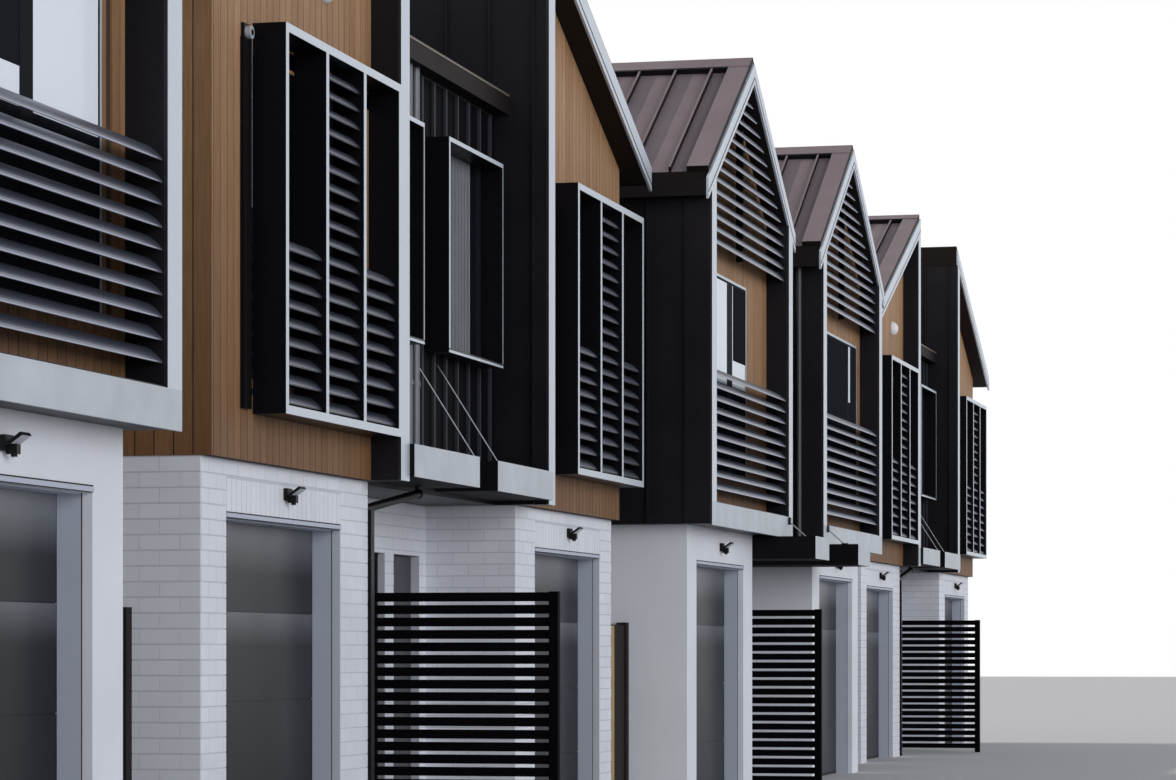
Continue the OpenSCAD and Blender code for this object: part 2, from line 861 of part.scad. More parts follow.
// Depth of the panes behind the wall faces
pane_in = 120;
l_pane_in = 60;
link_pane_in = 40;

module window_panes() {
    y_rear = timber_back - pane_in - pane_t;
    y_link = link_setback + link_pane_in;
    color("#6a7078") {
        t_houses() for (y = [t_face + pane_in, y_rear])
            block(t_win_u, t_win_u + t_win_w, y, y + pane_t, win_sill, t_win_head);
        l_houses() for (y = [l_face + l_pane_in, y_rear])
            block(l_win_u, l_win_u + l_win_w, y, y + pane_t, win_sill, l_win_head);
        t_links() for (w = LINK_WINDOWS)
            block(w[0] == 0 ? 0 : w[0] + box_sheet, w[0] + w[1] - box_sheet, y_link, y_link + pane_t,
                link_win_sill + box_sheet, link_win_head - box_sheet);
    }
}

// Channel gutter, open at the top
module gutter(length) {
    difference() {
        cube([gutter_w, length, gutter_h]);
        translate([gutter_t, gutter_t, gutter_t])
            cube([gutter_w - 2 * gutter_t, length - 2 * gutter_t, gutter_h]);
    }
}

module gutters() {
    color("#2b2627") {
        t_houses() translate([t_width + t_eave - gutter_w, -t_fin_fwd, t_top(t_width + t_eave) - gutter_h])
            gutter(roof_back + t_fin_fwd);
        l_houses() for (u = [-l_eave, l_width + l_eave - gutter_w])
            translate([u, -l_fin_fwd, l_top(-l_eave) - gutter_h]) gutter(roof_back + l_fin_fwd);
        t_links() translate([0, link_setback, link_gutter_z]) rotate([0, 0, -90]) gutter(t_link);
    }
}

pipe_d = 60;
// The link gutter stands a little higher than the link's wall top
link_gutter_rise = 20;
link_gutter_z = t_link_h + link_gutter_rise;
// Distances of the two downpipes from the left end of a T link
LINK_PIPES = [1290, 1460];

module pipe(x, y, z0, z1) {
    translate([x, y, z0]) cylinder(h = z1 - z0, d = pipe_d);
}

// Round rod between two points
module rod(a, b, d) {
    v = b - a;
    len = norm(v);
    translate(a) rotate([0, acos(v[2] / len), atan2(v[1], v[0])]) cylinder(h = len, d = d);
}

// Drain that falls along the underside of a T canopy to the house corner and down to the ground
drain_d = 42;
elbow_d = 50;
drain_top = canopy_z - elbow_d;
drain_fall = 160;
drain_clear = 2;
// Small gap between two pieces that are set against each other
seat_gap = 0.2;

module drain() {
    x = elbow_d / 2 + drain_clear - t_inset;
    y = elbow_d;
    low = [x, y, drain_top - drain_fall];
    high = [LINK_PIPES[0], y, drain_top];
    run = (high - low) / norm(high - low);
    translate([x, y, 0]) cylinder(h = low[2], d = drain_d);
    rod(low + (elbow_d / 2 + seat_gap) * run, high, drain_d);
    translate(high) cylinder(h = canopy_z - drain_top, d = drain_d);
    for (bend = [low, high]) translate(bend) sphere(d = elbow_d);
}

module downpipes() {
    y = link_setback - pipe_d / 2;
    color("#55585e") {
        t_links() for (x = LINK_PIPES)
            pipe(x, y, canopy_z + canopy_d, link_gutter_z);
        t_links() drain();
        l_links() for (x = [pipe_d / 2, l_link - pipe_d / 2])
            pipe(x, -plaster_fwd, base_h, l_top(-l_eave) - gutter_h);
    }
}

canopy_top = canopy_z + canopy_d;
l_canopy_top = base_h - lap;

module canopies() {
    color("#23252a") {
        t_links() for (u = [[0, canopy_w], [t_link - canopy_w, t_link]])
            block(u[0], u[1], -canopy_fwd, link_setback, canopy_z, canopy_top);
        l_links() for (u = [[-l_inset_link, 0], [l_link, l_link + l_inset_link]])
            block(u[0], u[1], -l_canopy_fwd, entry_setback, l_canopy_top - canopy_d, l_canopy_top);
    }
}

// Stays of the T canopies, cut level with the canopy top and the wall, and a hair clear of both
stay_in = 60;
stay_front = 20;

module t_stay(x) {
    top = [x, link_setback, stay_top];
    foot = [x, stay_front - canopy_fwd, canopy_top];
    past = stay_d * (top - foot) / norm(top - foot);
    intersection() {
        rod(foot - past, top + past, stay_d);
        block(x - stay_d, x + stay_d, -canopy_fwd, link_setback - seat_gap,
            canopy_top + seat_gap, link_win_head);
    }
}

// Short stays of the L canopies, between a round plate on the sill band and one on the canopy
plate_t = 8;
// Share of its diameter by which a rod stops short, so that its end stays inside the plate
stay_sunk = 0.65;
l_stay_u = 220;
l_stay_reach = 180;
l_stay_z = sill_top - plate_d / 2 - lap;

module l_stay(x) {
    y_band = -l_fin_fwd - trim_t - seat_gap;
    top = [x, y_band, l_stay_z];
    foot = [x, y_band - l_stay_reach, l_canopy_top + seat_gap];
    translate(top) rotate([90, 0, 0]) cylinder(h = plate_t, d = plate_d);
    translate(foot) cylinder(h = plate_t, d = plate_d);
    past = stay_sunk * stay_d * (top - foot) / norm(top - foot);
    rod(foot + past, top - past, stay_d);
}

module canopy_stays() {
    color("#9aa0a6") t_links() for (x = [canopy_w - stay_in, t_link - canopy_w + stay_in]) t_stay(x);
    color("#1a1a1e") l_links() for (x = [-l_stay_u, l_link + l_stay_u]) l_stay(x);
}

// Slatted fence: level slats between two end posts, standing across the link
fence_post = 65;
slat_t = 20;
slat_in = 10;
fence_count = floor((fence_h - slat_pitch / 3) / slat_pitch);

module slatted_fence() {
    y0 = -fence_fwd;
    y1 = entry_setback;
    for (y = [y0, y1 - fence_post])
        block(-fence_post / 2, fence_post / 2, y, y + fence_post, 0, fence_h);
    for (i = [0:fence_count - 1])
        block(-slat_t / 2, slat_t / 2, y0 + slat_in, y1 - slat_in,
            fence_h - slat_h - i * slat_pitch, fence_h - i * slat_pitch);
}

module slatted_fences() {
    color("#0f0f13") {
        t_links() translate([t_link / 2, 0, 0]) slatted_fence();
        l_links() translate([l_link / 2, 0, 0]) slatted_fence();
    }
}

// Closed timber fence across a side gap, with a post at its right end
side_fence_t = 25;
side_fence_post = 90;
side_fence_in = 30;
side_fence_drop = 20;

module side_fences() {
    color("#8a7355") row() for (g = SIDE_GAPS) {
        u0 = g[0] - g[3];
        u1 = g[0] + g[1] + g[4];
        y = g[2] + side_fence_in;
        block(u0, u1 - side_fence_post, y, y + side_fence_t, 0, side_fence_h - side_fence_drop);
        block(u1 - side_fence_post, u1, g[2], g[2] + side_fence_post, 0, side_fence_h);
    }
}

// Half round wall lights on the T houses, and sensor lights over every garage
light_d = 180;
light_rise = 620;
// Place of the wall light from the link side, on a house drawn leftwards and on one drawn rightwards
light_u_left = 1150;
light_u_right = 600;
sensor_z = (garage_h + base_h) / 2 + lap;
sensor_w = 100;
sensor_d = 28;
sensor_h = 72;
eye_body = 44;
eye_drop = 14;
eye_d = 30;
eye_h = 12;
lamp_w = 110;
lamp_len = 88;
lamp_t = 16;
lamp_tilt = 35;
lamp_root = 34;

module half_round_light() {
    intersection() {
        sphere(d = light_d, $fn = 48);
        block(-light_d, light_d, -light_d, 0, -light_d, light_d);
    }
}

// Wall box, sensor body with a round eye under it, and a flat lamp head tilted up
module sensor_light() {
    y0 = -sensor_d - eye_body;
    z0 = -sensor_h / 2 - eye_drop;
    block(-sensor_w / 2, sensor_w / 2, -sensor_d, 0, -sensor_h / 2, sensor_h / 2);
    block(-eye_body / 2, eye_body / 2, y0, lap - sensor_d, z0, z0 + eye_body);
    translate([0, y0 + eye_body / 2, z0 - eye_h]) cylinder(h = eye_h + lap, d = eye_d);
    translate([0, -lamp_root, -lap]) rotate([-lamp_tilt, 0, 0])
        block(-lamp_w / 2, lamp_w / 2, -lamp_len, 0, -lamp_t / 2, lamp_t / 2);
}

module wall_fittings() {
    color("#e8e8ea") row() for (h = T_HOUSES) house(h)
        translate([h[1] < 0 ? light_u_left : light_u_right, t_face, t_win_head + light_rise])
            half_round_light();
    color("#111114") {
        t_houses() translate([t_garage_u + garage_w / 2, 0, sensor_z]) sensor_light();
        l_houses() translate([l_garage_u + garage_w / 2, -plaster_fwd, sensor_z]) sensor_light();
    }
}

brick_side_walls();
brick_piers();
brick_lintels();
plaster_side_walls();
plaster_piers();
plaster_lintels();
entry_piers();
entry_heads_and_sills();
link_rear_walls();
ground_slabs();
garage_doors();
entry_door();
entry_doors_shut();
entry_sidelights();
rear_doors();
floor_decks();
timber_piers();
timber_infills();
timber_side_walls();
clad_side_walls();
gable_walls();
link_piers();
link_infills();
link_roofs();
half_gable_roofs();
gable_roofs_link_side();
gable_roofs_outer_side();
barge_boards();
barge_boards_outer();
fin_edges();
sill_bands();
balustrade_blades();
gable_louvres();
screen_boxes();
screen_rails();
window_box_sides();
window_box_caps();
window_panes();
gutters();
downpipes();
canopies();
canopy_stays();
slatted_fences();
side_fences();
wall_fittings();
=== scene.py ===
# Row of seven narrow two-storey houses in pairs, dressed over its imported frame.
# Units are metres. The row runs along X, the fronts face -Y, and the ground is at zero.
import bpy
import bmesh
import math
import random
from mathutils import Matrix, Vector


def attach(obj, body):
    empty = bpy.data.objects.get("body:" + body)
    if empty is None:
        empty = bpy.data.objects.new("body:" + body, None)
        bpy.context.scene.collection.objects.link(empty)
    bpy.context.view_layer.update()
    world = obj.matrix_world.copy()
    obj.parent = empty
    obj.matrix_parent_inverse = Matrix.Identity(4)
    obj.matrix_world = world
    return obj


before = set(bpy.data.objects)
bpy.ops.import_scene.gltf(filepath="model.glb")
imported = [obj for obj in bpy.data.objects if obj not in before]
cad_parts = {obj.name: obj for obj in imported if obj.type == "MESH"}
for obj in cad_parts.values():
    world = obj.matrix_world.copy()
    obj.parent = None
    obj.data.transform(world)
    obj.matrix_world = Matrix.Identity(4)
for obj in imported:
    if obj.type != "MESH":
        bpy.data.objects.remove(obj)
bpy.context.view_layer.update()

# Ground slabs: concrete, poured between the walls and floated by hand.
# The float leaves soft grey clouds and a fine grit.


def dress(material, *names):
    """Gives CAD nodes their material."""
    for name in names:
        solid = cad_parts[name]
        if not solid.material_slots:
            solid.data.materials.append(material)
        for place in solid.material_slots:
            place.material = material


def linear(code):
    """sRGB hex to the linear colour that a shader takes."""
    parts = [int(code[i:i + 2], 16) / 255 for i in (1, 3, 5)]
    return [c / 12.92 if c <= 0.04045 else ((c + 0.055) / 1.055) ** 2.4 for c in parts] + [1.0]


def add_node(material, kind, settings=(), links=()):
    """Adds a shader node: settings are attributes or inputs, links are inputs fed by other sockets."""
    tree = material.node_tree
    made = tree.nodes.new("ShaderNode" + kind)
    for name, value in settings:
        if isinstance(name, int) or name in made.inputs:
            made.inputs[name].default_value = value
        else:
            setattr(made, name, value)
    for name, source in links:
        tree.links.new(source, made.inputs[name])
    return made


def finish(name, colour, roughness, **inputs):
    """New material with its plain settings, and its object coordinates."""
    material = bpy.data.materials.new(name)
    material.use_nodes = True
    shader = material.node_tree.nodes["Principled BSDF"]
    shader.inputs["Base Color"].default_value = linear(colour)
    shader.inputs["Roughness"].default_value = roughness
    for key, value in inputs.items():
        shader.inputs[key.replace("_", " ")].default_value = value
    return material, add_node(material, "TexCoord").outputs["Object"]


def join_up(material, source, name="Base Color"):
    """Feeds one input of a material's shader."""
    shader = material.node_tree.nodes["Principled BSDF"]
    material.node_tree.links.new(source, shader.inputs[name])


def speckle(material, place, size, detail=3.0):
    """Spots about size metres across. Grit finer than a few millimetres is drawn that coarse, to show."""
    settings = [("Scale", 1.0 / size), ("Detail", detail)]
    return add_node(material, "TexNoise", settings, [("Vector", place)]).outputs["Fac"]


def tint(material, factor, low, high, colour_a, colour_b, over=None):
    """Two colours mixed as a factor runs from low to high, washed over another if one is given."""
    ramp = add_node(material, "ValToRGB", links=[("Fac", factor)])
    for element, position, colour in zip(ramp.color_ramp.elements, (low, high), (colour_a, colour_b)):
        element.position = position
        element.color = linear(colour)
    if over is None:
        return ramp.outputs["Color"]
    return add_node(material, "Mix", [("data_type", "RGBA"), ("blend_type", "MULTIPLY"), (0, 1.0)],
                    [(6, over), (7, ramp.outputs["Color"])]).outputs[2]


def rough_face(material, height, depth):
    """Bump of a real depth in metres."""
    bump = add_node(material, "Bump", [("Distance", depth)], [("Height", height)])
    join_up(material, bump.outputs["Normal"], "Normal")


concrete, place = finish("floated concrete", "#8F8E8B", 0.85)
clouds = tint(concrete, speckle(concrete, place, 0.35, 5.0), 0.35, 0.65, "#858481", "#999894")
join_up(concrete, clouds)
rough_face(concrete, speckle(concrete, place, 0.004), 0.0015)
dress(concrete, "ground_slabs")

# Ground storey of the T houses and the entry walls: clay brick laid in stretcher bond, painted white.
# Each brick stands a few millimetres proud of its raked joint, and the paint rounds both over.
# Houses are drawn outwards from the side of their link, which for the first is the end of the row.
T_WIDTH = 3.170
L_WIDTH = 3.880
T_LINK = 3.640
L_LINK = 1.760
SIDE_GAPS = (2.120, 0.920, 2.700)
DEPTH = 8.500
BASE_TOP = 2.430
ROW_HALF = 19.650
ROW_SETBACK = 3.875
l1 = 0.0
t2 = l1 + L_WIDTH + SIDE_GAPS[0] + T_WIDTH
t3 = t2 + T_LINK
l4 = t3 + T_WIDTH + SIDE_GAPS[1] + L_WIDTH
l5 = l4 + L_LINK
t6 = l5 + L_WIDTH + SIDE_GAPS[2] + T_WIDTH
t7 = t6 + T_LINK
T_HOUSES = ((t2, -1), (t3, 1), (t6, -1), (t7, 1))
L_HOUSES = ((l1, 1), (l4, -1), (l5, 1))
T_LINKS = (t2, t6)
COURSES = 28
COURSE = BASE_TOP / COURSES
BRICK = 0.240
JOINT = 0.008
HEAD_JOINT = 0.004
SHORTEST_BRICK = 0.015
LOWEST_BRICK = 0.012
PROUD = 0.003
SOLDIER_TOP = 2.330
SOLDIERS = 25
GARAGE_TOP = 2.100
GARAGE_W = 2.130
T_PIER = 0.420
T_INSET = 0.040
L_INSET_LINK = 0.760
ENTRY_Y = 0.690
ENTRY_TOP = 2.050
ENTRY_PIER = 0.180
ENTRY_DOOR = 0.660
ENTRY_MID = 0.220
ENTRY_CENTRE = 0.240
REAR_DOOR = 1.800
EAST = Vector((1, 0, 0))
NORTH = Vector((0, 1, 0))
SOUTH = Vector((0, -1, 0))
LINK_WALLS = [(x - T_INSET, T_LINK + 2 * T_INSET) for x in T_LINKS]
LINK_WALLS.append((l4 - L_INSET_LINK, L_LINK + 2 * L_INSET_LINK))
BODY = "house_row"
draw = random.Random(41)


def at(house, u, y, z):
    """Point u metres outwards from a house's link side, in the row's frame."""
    return Vector((house[0] + house[1] * u - ROW_HALF, y - ROW_SETBACK, z))


def add_box(bm, a, b, value=None):
    """Box between two opposite corners. value goes to the mesh's shade layer."""
    size = Vector([abs(b[i] - a[i]) for i in range(3)])
    matrix = Matrix.Translation((a + b) / 2) @ Matrix.Diagonal(size.to_4d())
    verts = bmesh.ops.create_cube(bm, size=1.0, matrix=matrix)["verts"]
    if value is not None:
        layer = bm.verts.layers.float["shade"]
        for vert in verts:
            vert[layer] = value


def piece(bm, name, material):
    """Closes a mesh into a named piece that rides on the row and takes its finish from a slot."""
    bmesh.ops.recalc_face_normals(bm, faces=bm.faces)
    mesh = bpy.data.meshes.new(name)
    bm.to_mesh(mesh)
    bm.free()
    mesh.materials.append(material)
    made = bpy.data.objects.new(name, mesh)
    bpy.context.scene.collection.objects.link(made)
    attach(made, BODY)


def shaded_mesh():
    """Empty mesh with a layer that holds one shade for each brick or board."""
    bm = bmesh.new()
    bm.verts.layers.float.new("shade")
    return bm


def lay_bricks(bm, corner, along, out, length, holes=(), start_half=False):
    """Lays courses on a wall from its corner. holes are (start, end, bottom, top) along the wall."""
    for course in range(COURSES):
        z0 = course * COURSE
        z1 = z0 + COURSE - JOINT
        half = (course % 2 == 1) != start_half
        cuts = [-BRICK / 2 if half else 0.0]
        while cuts[-1] < length:
            cuts.append(cuts[-1] + BRICK)
        for a in cuts:
            for b0, b1, low, high in clip_brick(a, a + BRICK - HEAD_JOINT, z0, z1, length, holes):
                if b1 - b0 < SHORTEST_BRICK or high - low < LOWEST_BRICK:
                    continue
                p = corner + along * b0 + Vector((0, 0, low))
                q = corner + along * b1 + out * PROUD + Vector((0, 0, high))
                add_box(bm, p, q, draw.random())


def clip_brick(b0, b1, z0, z1, length, holes):
    """Parts of a brick that are left inside the wall and outside its openings."""
    b0 = max(b0, 0.0)
    b1 = min(b1, length)
    if b1 <= b0:
        return []
    for start, end, bottom, top in holes:
        if z0 < top and z1 > bottom and b0 < end and b1 > start:
            parts = []
            if b0 < start:
                parts += clip_brick(b0, start, z0, z1, length, holes)
            if b1 > end:
                parts += clip_brick(end, b1, z0, z1, length, holes)
            if z1 > top:
                parts.append((max(b0, start), min(b1, end), max(z0, top), z1))
            return parts
    return [(b0, b1, z0, z1)]


def entry_holes(half):
    """Door, sidelight, and both again mirrored, in a whole entry wall from its left end."""
    door = (ENTRY_PIER, ENTRY_PIER + ENTRY_DOOR, 0, ENTRY_TOP)
    light = (door[1] + ENTRY_MID, half - ENTRY_CENTRE / 2, 0, ENTRY_TOP)
    both = [door, light]
    return both + [(2 * half - b, 2 * half - a, z0, z1) for a, b, z0, z1 in both]


# Gloss that has weathered to satin: each brick takes its own white, under broad faint clouds.
painted_brick, place = finish("white painted clay brick", "#DCDDE2", 0.55)
shade = add_node(painted_brick, "Attribute", [("attribute_name", "shade")]).outputs["Fac"]
brick_tone = tint(painted_brick, shade, 0.0, 1.0, "#DDDFE6", "#E3E5EC")
clouds = speckle(painted_brick, place, 0.9)
brick_tone = tint(painted_brick, clouds, 0.3, 0.7, "#F2F2F3", "#FFFFFF", over=brick_tone)
join_up(painted_brick, brick_tone)
rough_face(painted_brick, speckle(painted_brick, place, 0.006, 4.0), 0.0012)
brick_joint, place = finish("painted mortar joint", "#C3C5CD", 0.7)
rough_face(brick_joint, speckle(brick_joint, place, 0.004), 0.001)
dress(brick_joint, "brick_side_walls", "brick_piers", "brick_lintels", "entry_piers",
      "entry_heads_and_sills", "link_rear_walls")
garage_u = T_WIDTH - T_PIER - GARAGE_W
rear_u = (T_WIDTH - REAR_DOOR) / 2
front_bricks = shaded_mesh()
side_bricks = shaded_mesh()
rear_bricks = shaded_mesh()
for house in T_HOUSES:
    outwards = Vector((house[1], 0, 0))
    front_w = T_WIDTH - T_INSET
    garage_hole = (garage_u - T_INSET, garage_u - T_INSET + GARAGE_W, 0, SOLDIER_TOP)
    lay_bricks(front_bricks, at(house, T_INSET, 0, 0), outwards, SOUTH, front_w, [garage_hole])
    pitch = GARAGE_W / SOLDIERS
    for i in range(SOLDIERS):
        u = garage_u + i * pitch
        add_box(front_bricks, at(house, u, -PROUD, GARAGE_TOP),
                at(house, u + pitch - JOINT, 0, SOLDIER_TOP - JOINT), draw.random())
    lay_bricks(side_bricks, at(house, T_WIDTH, 0, 0), NORTH, outwards, DEPTH, start_half=True)
    lay_bricks(side_bricks, at(house, T_INSET, 0, 0), NORTH, -outwards, ENTRY_Y, start_half=True)
    rear_hole = (rear_u - T_INSET, rear_u - T_INSET + REAR_DOOR, 0, GARAGE_TOP)
    lay_bricks(rear_bricks, at(house, T_INSET, DEPTH, 0), outwards, NORTH, front_w, [rear_hole])
for left, width in LINK_WALLS:
    lay_bricks(front_bricks, at((left, 1), 0, ENTRY_Y, 0), EAST, SOUTH, width, entry_holes(width / 2))
    lay_bricks(rear_bricks, at((left, 1), 0, DEPTH, 0), EAST, NORTH, width)
piece(front_bricks, "front_bricks", painted_brick)
piece(side_bricks, "side_bricks", painted_brick)
piece(rear_bricks, "rear_bricks", painted_brick)

# Ground storey of the L houses: cement render on block, trowelled smooth and painted white.
# The trowel leaves faint broad waves and a fine sand grain.
render_coat, place = finish("painted cement render", "#DCDEE4", 0.6)
patches = tint(render_coat, speckle(render_coat, place, 0.7), 0.3, 0.7, "#DADCE3", "#E2E4EB")
join_up(render_coat, patches)
rough_face(render_coat, speckle(render_coat, place, 0.003), 0.0008)
dress(render_coat, "plaster_side_walls", "plaster_piers", "plaster_lintels")

# Sectional garage doors: four smooth steel panels with a satin foil coat in dark grey.
# A rubber seal meets the ground, a painted strip covers the lintel, and linings stand in the reveals. Thin
# black strips above and below the lintel strip and down the front edges of the linings are painted shadow
# lines.
GARAGE_RECESS = 0.180
PANEL = GARAGE_TOP / 4
PAINTED_HIGHLIGHT_LOW = 0.7
PAINTED_HIGHLIGHT_LEAST = 0.15
L_PIER = 0.400
L_INSET_OUTER = 0.150
PLASTER_FWD = 0.420
LINING_IN = 0.055
LINING_T = 0.006
DOOR_SEAL_H = 0.030
STRIP_LOW = 0.004
STRIP_TOP = 0.028
SHADOW_LINE_TOP = 0.036

# Painted highlight: each panel is painted lighter towards its top, and more so on the upper panels, in place
# of the sky that the foil mirrors.
garage_steel, place = finish("satin coated garage door steel with painted highlight", "#2A2C30", 0.34,
                             Metallic=0.2, Specular_IOR_Level=0.1)
height = add_node(garage_steel, "SeparateXYZ", links=[("Vector", place)]).outputs["Z"]
panels = add_node(garage_steel, "Math", [("operation", "MULTIPLY"), (1, 1 / PANEL)], [(0, height)])
rise = add_node(garage_steel, "Math", [("operation", "FRACT")], [(0, panels.outputs[0])])
heights = [("From Min", PAINTED_HIGHLIGHT_LOW), ("From Max", GARAGE_TOP), ("To Min", PAINTED_HIGHLIGHT_LEAST)]
upper = add_node(garage_steel, "MapRange", heights, [("Value", height)])
painted_highlight = add_node(garage_steel, "Math", [("operation", "MULTIPLY")],
                [(0, rise.outputs[0]), (1, upper.outputs[0])])
tone_and_painted_sheen = tint(garage_steel, painted_highlight.outputs[0], 0.35, 1.0, "#292B30", "#8A8D93")
clouds = speckle(garage_steel, place, 1.1, 1.0)
tone_and_painted_sheen = tint(garage_steel, clouds, 0.35, 0.65, "#C0C0C4", "#FFFFFF", over=tone_and_painted_sheen)
join_up(garage_steel, tone_and_painted_sheen)
rough_face(garage_steel, speckle(garage_steel, place, 0.5, 0.0), 0.004)
dress(garage_steel, "garage_doors")
seal_and_painted_shadow = finish("black rubber seal and painted shadow lines", "#0E0E10", 0.8)[0]
lining_paint, place = finish("painted timber lining", "#B4B9C8", 0.55)
rough_face(lining_paint, speckle(lining_paint, place, 0.01), 0.0004)
garage_fronts = [(house, garage_u, 0.0) for house in T_HOUSES]
l_garage_u = L_WIDTH - L_INSET_OUTER - L_PIER - GARAGE_W
garage_fronts += [(house, l_garage_u, -PLASTER_FWD) for house in L_HOUSES]
seals_and_painted_shadow_lines = bmesh.new()
linings = bmesh.new()
for house, u, face in garage_fronts:
    far = u + GARAGE_W
    back = face + GARAGE_RECESS - 0.002
    add_box(seals_and_painted_shadow_lines, at(house, u, back - 0.002, 0), at(house, far, back + 0.012, DOOR_SEAL_H))
    # Black strips just above and below the lintel strip are painted shadow lines.
    for bm, proud, low, top in ((linings, 0.010, STRIP_LOW, STRIP_TOP),
                                (seals_and_painted_shadow_lines, 0.005, STRIP_TOP, SHADOW_LINE_TOP), (seals_and_painted_shadow_lines, 0.003, 0.0, STRIP_LOW)):
        add_box(bm, at(house, u, face - proud, GARAGE_TOP + low), at(house, far, face, GARAGE_TOP + top))
    front = face + LINING_IN
    add_box(linings, at(house, u, front, GARAGE_TOP - LINING_T), at(house, far, back, GARAGE_TOP))
    # Each jamb lining gets a black strip down its front edge, a painted shadow line.
    for a, b in ((u, u + LINING_T), (far - LINING_T, far)):
        add_box(linings, at(house, a, front, 0), at(house, b, back, GARAGE_TOP - LINING_T))
        add_box(seals_and_painted_shadow_lines, at(house, a, front - 0.004, 0), at(house, b, front, GARAGE_TOP))
piece(seals_and_painted_shadow_lines, "garage_seals_and_painted_shadow_lines", seal_and_painted_shadow)
piece(linings, "garage_opening_linings", lining_paint)

# Entry doors: flush leaves in dark enamel with a long square pull, brushed to a satin.
# Sidelights and the garden doors behind have matt aluminium frames round dark, clear glass.
SLAB = 0.100
SIDELIGHT_IN = 0.050
REAR_SASH_Y = DEPTH - 0.125
door_enamel, place = finish("dark satin enamel", "#33363A", 0.42)
rough_face(door_enamel, speckle(door_enamel, place, 0.02), 0.0004)
dress(door_enamel, "entry_door", "entry_doors_shut")
glazing = finish("clear window glass", "#1B2026", 0.04, IOR=1.5, Transmission_Weight=0.25)[0]
dress(glazing, "entry_sidelights", "rear_doors", "window_panes")
frame_alloy = finish("dark powder coated aluminium frame", "#1B1C21", 0.5, Specular_IOR_Level=0.01)[0]


def add_sash(bm, house, u0, u1, y, z0, z1, bars=(), width=0.045, depth=0.060):
    """Rectangular frame with upright bars; y is its front face and it reaches depth behind it."""
    for z in (z0, z1 - width):
        add_box(bm, at(house, u0, y, z), at(house, u1, y + depth, z + width))
    for u in (u0, u1 - width, *(bar - width / 2 for bar in bars)):
        add_box(bm, at(house, u, y, z0 + width), at(house, u + width, y + depth, z1 - width))


entry_frames = bmesh.new()
for left, width in LINK_WALLS:
    for a, b, z0, z1 in entry_holes(width / 2)[1::2]:
        add_sash(entry_frames, (left, 1), a, b, ENTRY_Y + SIDELIGHT_IN, SLAB, ENTRY_TOP)
piece(entry_frames, "sidelight_frames", frame_alloy)
l_rear_u = (L_INSET_LINK + L_WIDTH - L_INSET_OUTER - REAR_DOOR) / 2
rear_frames = bmesh.new()
for houses, u in ((T_HOUSES, rear_u), (L_HOUSES, l_rear_u)):
    for house in houses:
        add_sash(rear_frames, house, u, u + REAR_DOOR, REAR_SASH_Y, 0, GARAGE_TOP,
                 bars=[u + REAR_DOOR / 2], depth=0.070)
piece(rear_frames, "rear_door_frames", frame_alloy)

# Upper walls: cedar-toned boards 114 mm wide, machined, oiled and nailed upright with a dark shadow joint.
# Boards differ a little in tone, the grain runs up each one, and painted shade darkens them towards the
# bottom of the walls.
FLOOR_TOP = 2.630
BOARD = 0.114
BOARD_GAP = 0.008
BOARD_PROUD = 0.010
TIMBER_FWD = 0.060
TIMBER_BACK = DEPTH + TIMBER_FWD
T_FIN = 0.190
T_HIGH = 6.870
T_FALL = 0.42
T_ROOF = 0.200
L_FIN = 0.200
L_RIDGE = 6.650
L_FALL = 0.62
L_ROOF = 0.180
L_FACE = -PLASTER_FWD - 0.020
L_WIN_SIDE = 0.250
L_WIN_W = 2.200
T_WINDOW = (0.600, 2.500, 2.900, 4.750)
l_win_u = L_WIDTH - L_FIN - L_WIN_SIDE - L_WIN_W
L_WINDOW = (l_win_u, l_win_u + L_WIN_W, 2.900, 4.700)
JAMB = 0.065
L_LIGHTS_END = (L_WINDOW[1] - JAMB, L_WINDOW[1], L_WINDOW[1])
PAINTED_SHADE_LOW = 2.4
PAINTED_SHADE_TOP = 5.8


def grain_up(material, place, squeeze, width):
    """Grain about width metres across, drawn out along Z by a small squeeze."""
    upright = add_node(material, "Mapping", [("Scale", (1.0, 1.0, squeeze))], [("Vector", place)])
    return speckle(material, upright.outputs["Vector"], width, 5.0)


timber, place = finish("oiled cedar board", "#9E7E60", 0.6, Specular_IOR_Level=0.3)
shade = add_node(timber, "Attribute", [("attribute_name", "shade")]).outputs["Fac"]
board_tone = tint(timber, shade, 0.0, 1.0, "#A17C5B", "#B5906C")
grain = grain_up(timber, place, 0.035, 0.010)
streaks = tint(timber, grain, 0.35, 0.68, "#DFDAD4", "#FFFFFF", over=board_tone)
# Painted shade: the boards are painted darker towards the bottom of the walls.
height = add_node(timber, "SeparateXYZ", links=[("Vector", place)]).outputs["Z"]
heights = [("From Min", PAINTED_SHADE_LOW), ("From Max", PAINTED_SHADE_TOP)]
painted_shade_by_height = add_node(timber, "MapRange", heights, [("Value", height)]).outputs[0]
join_up(timber, tint(timber, painted_shade_by_height, 0.0, 1.0, "#B6A99B", "#FFFFFF", over=streaks))
rough_face(timber, grain, 0.0006)
shadow_gap = finish("board joint in shade", "#2F2218", 0.9)[0]
dress(shadow_gap, "timber_piers", "timber_infills", "timber_side_walls")


def t_under(u):
    """Underside of a T roof at u from the link side."""
    return T_HIGH - T_FALL * u - T_ROOF


def l_under(u):
    """Underside of an L roof at u from the link side."""
    return L_RIDGE - L_FALL * abs(u - L_WIDTH / 2) - L_ROOF


def add_board(bm, corners, out):
    """Board on a wall: four corners of its back face, thickened by out."""
    verts = [bm.verts.new(corner) for corner in corners]
    layer = bm.verts.layers.float["shade"]
    value = draw.random()
    face = bm.faces.new(verts)
    grown = bmesh.ops.extrude_face_region(bm, geom=[face])["geom"]
    moved = [v for v in grown if isinstance(v, bmesh.types.BMVert)]
    bmesh.ops.translate(bm, verts=moved, vec=out)
    for vert in verts + moved:
        vert[layer] = value


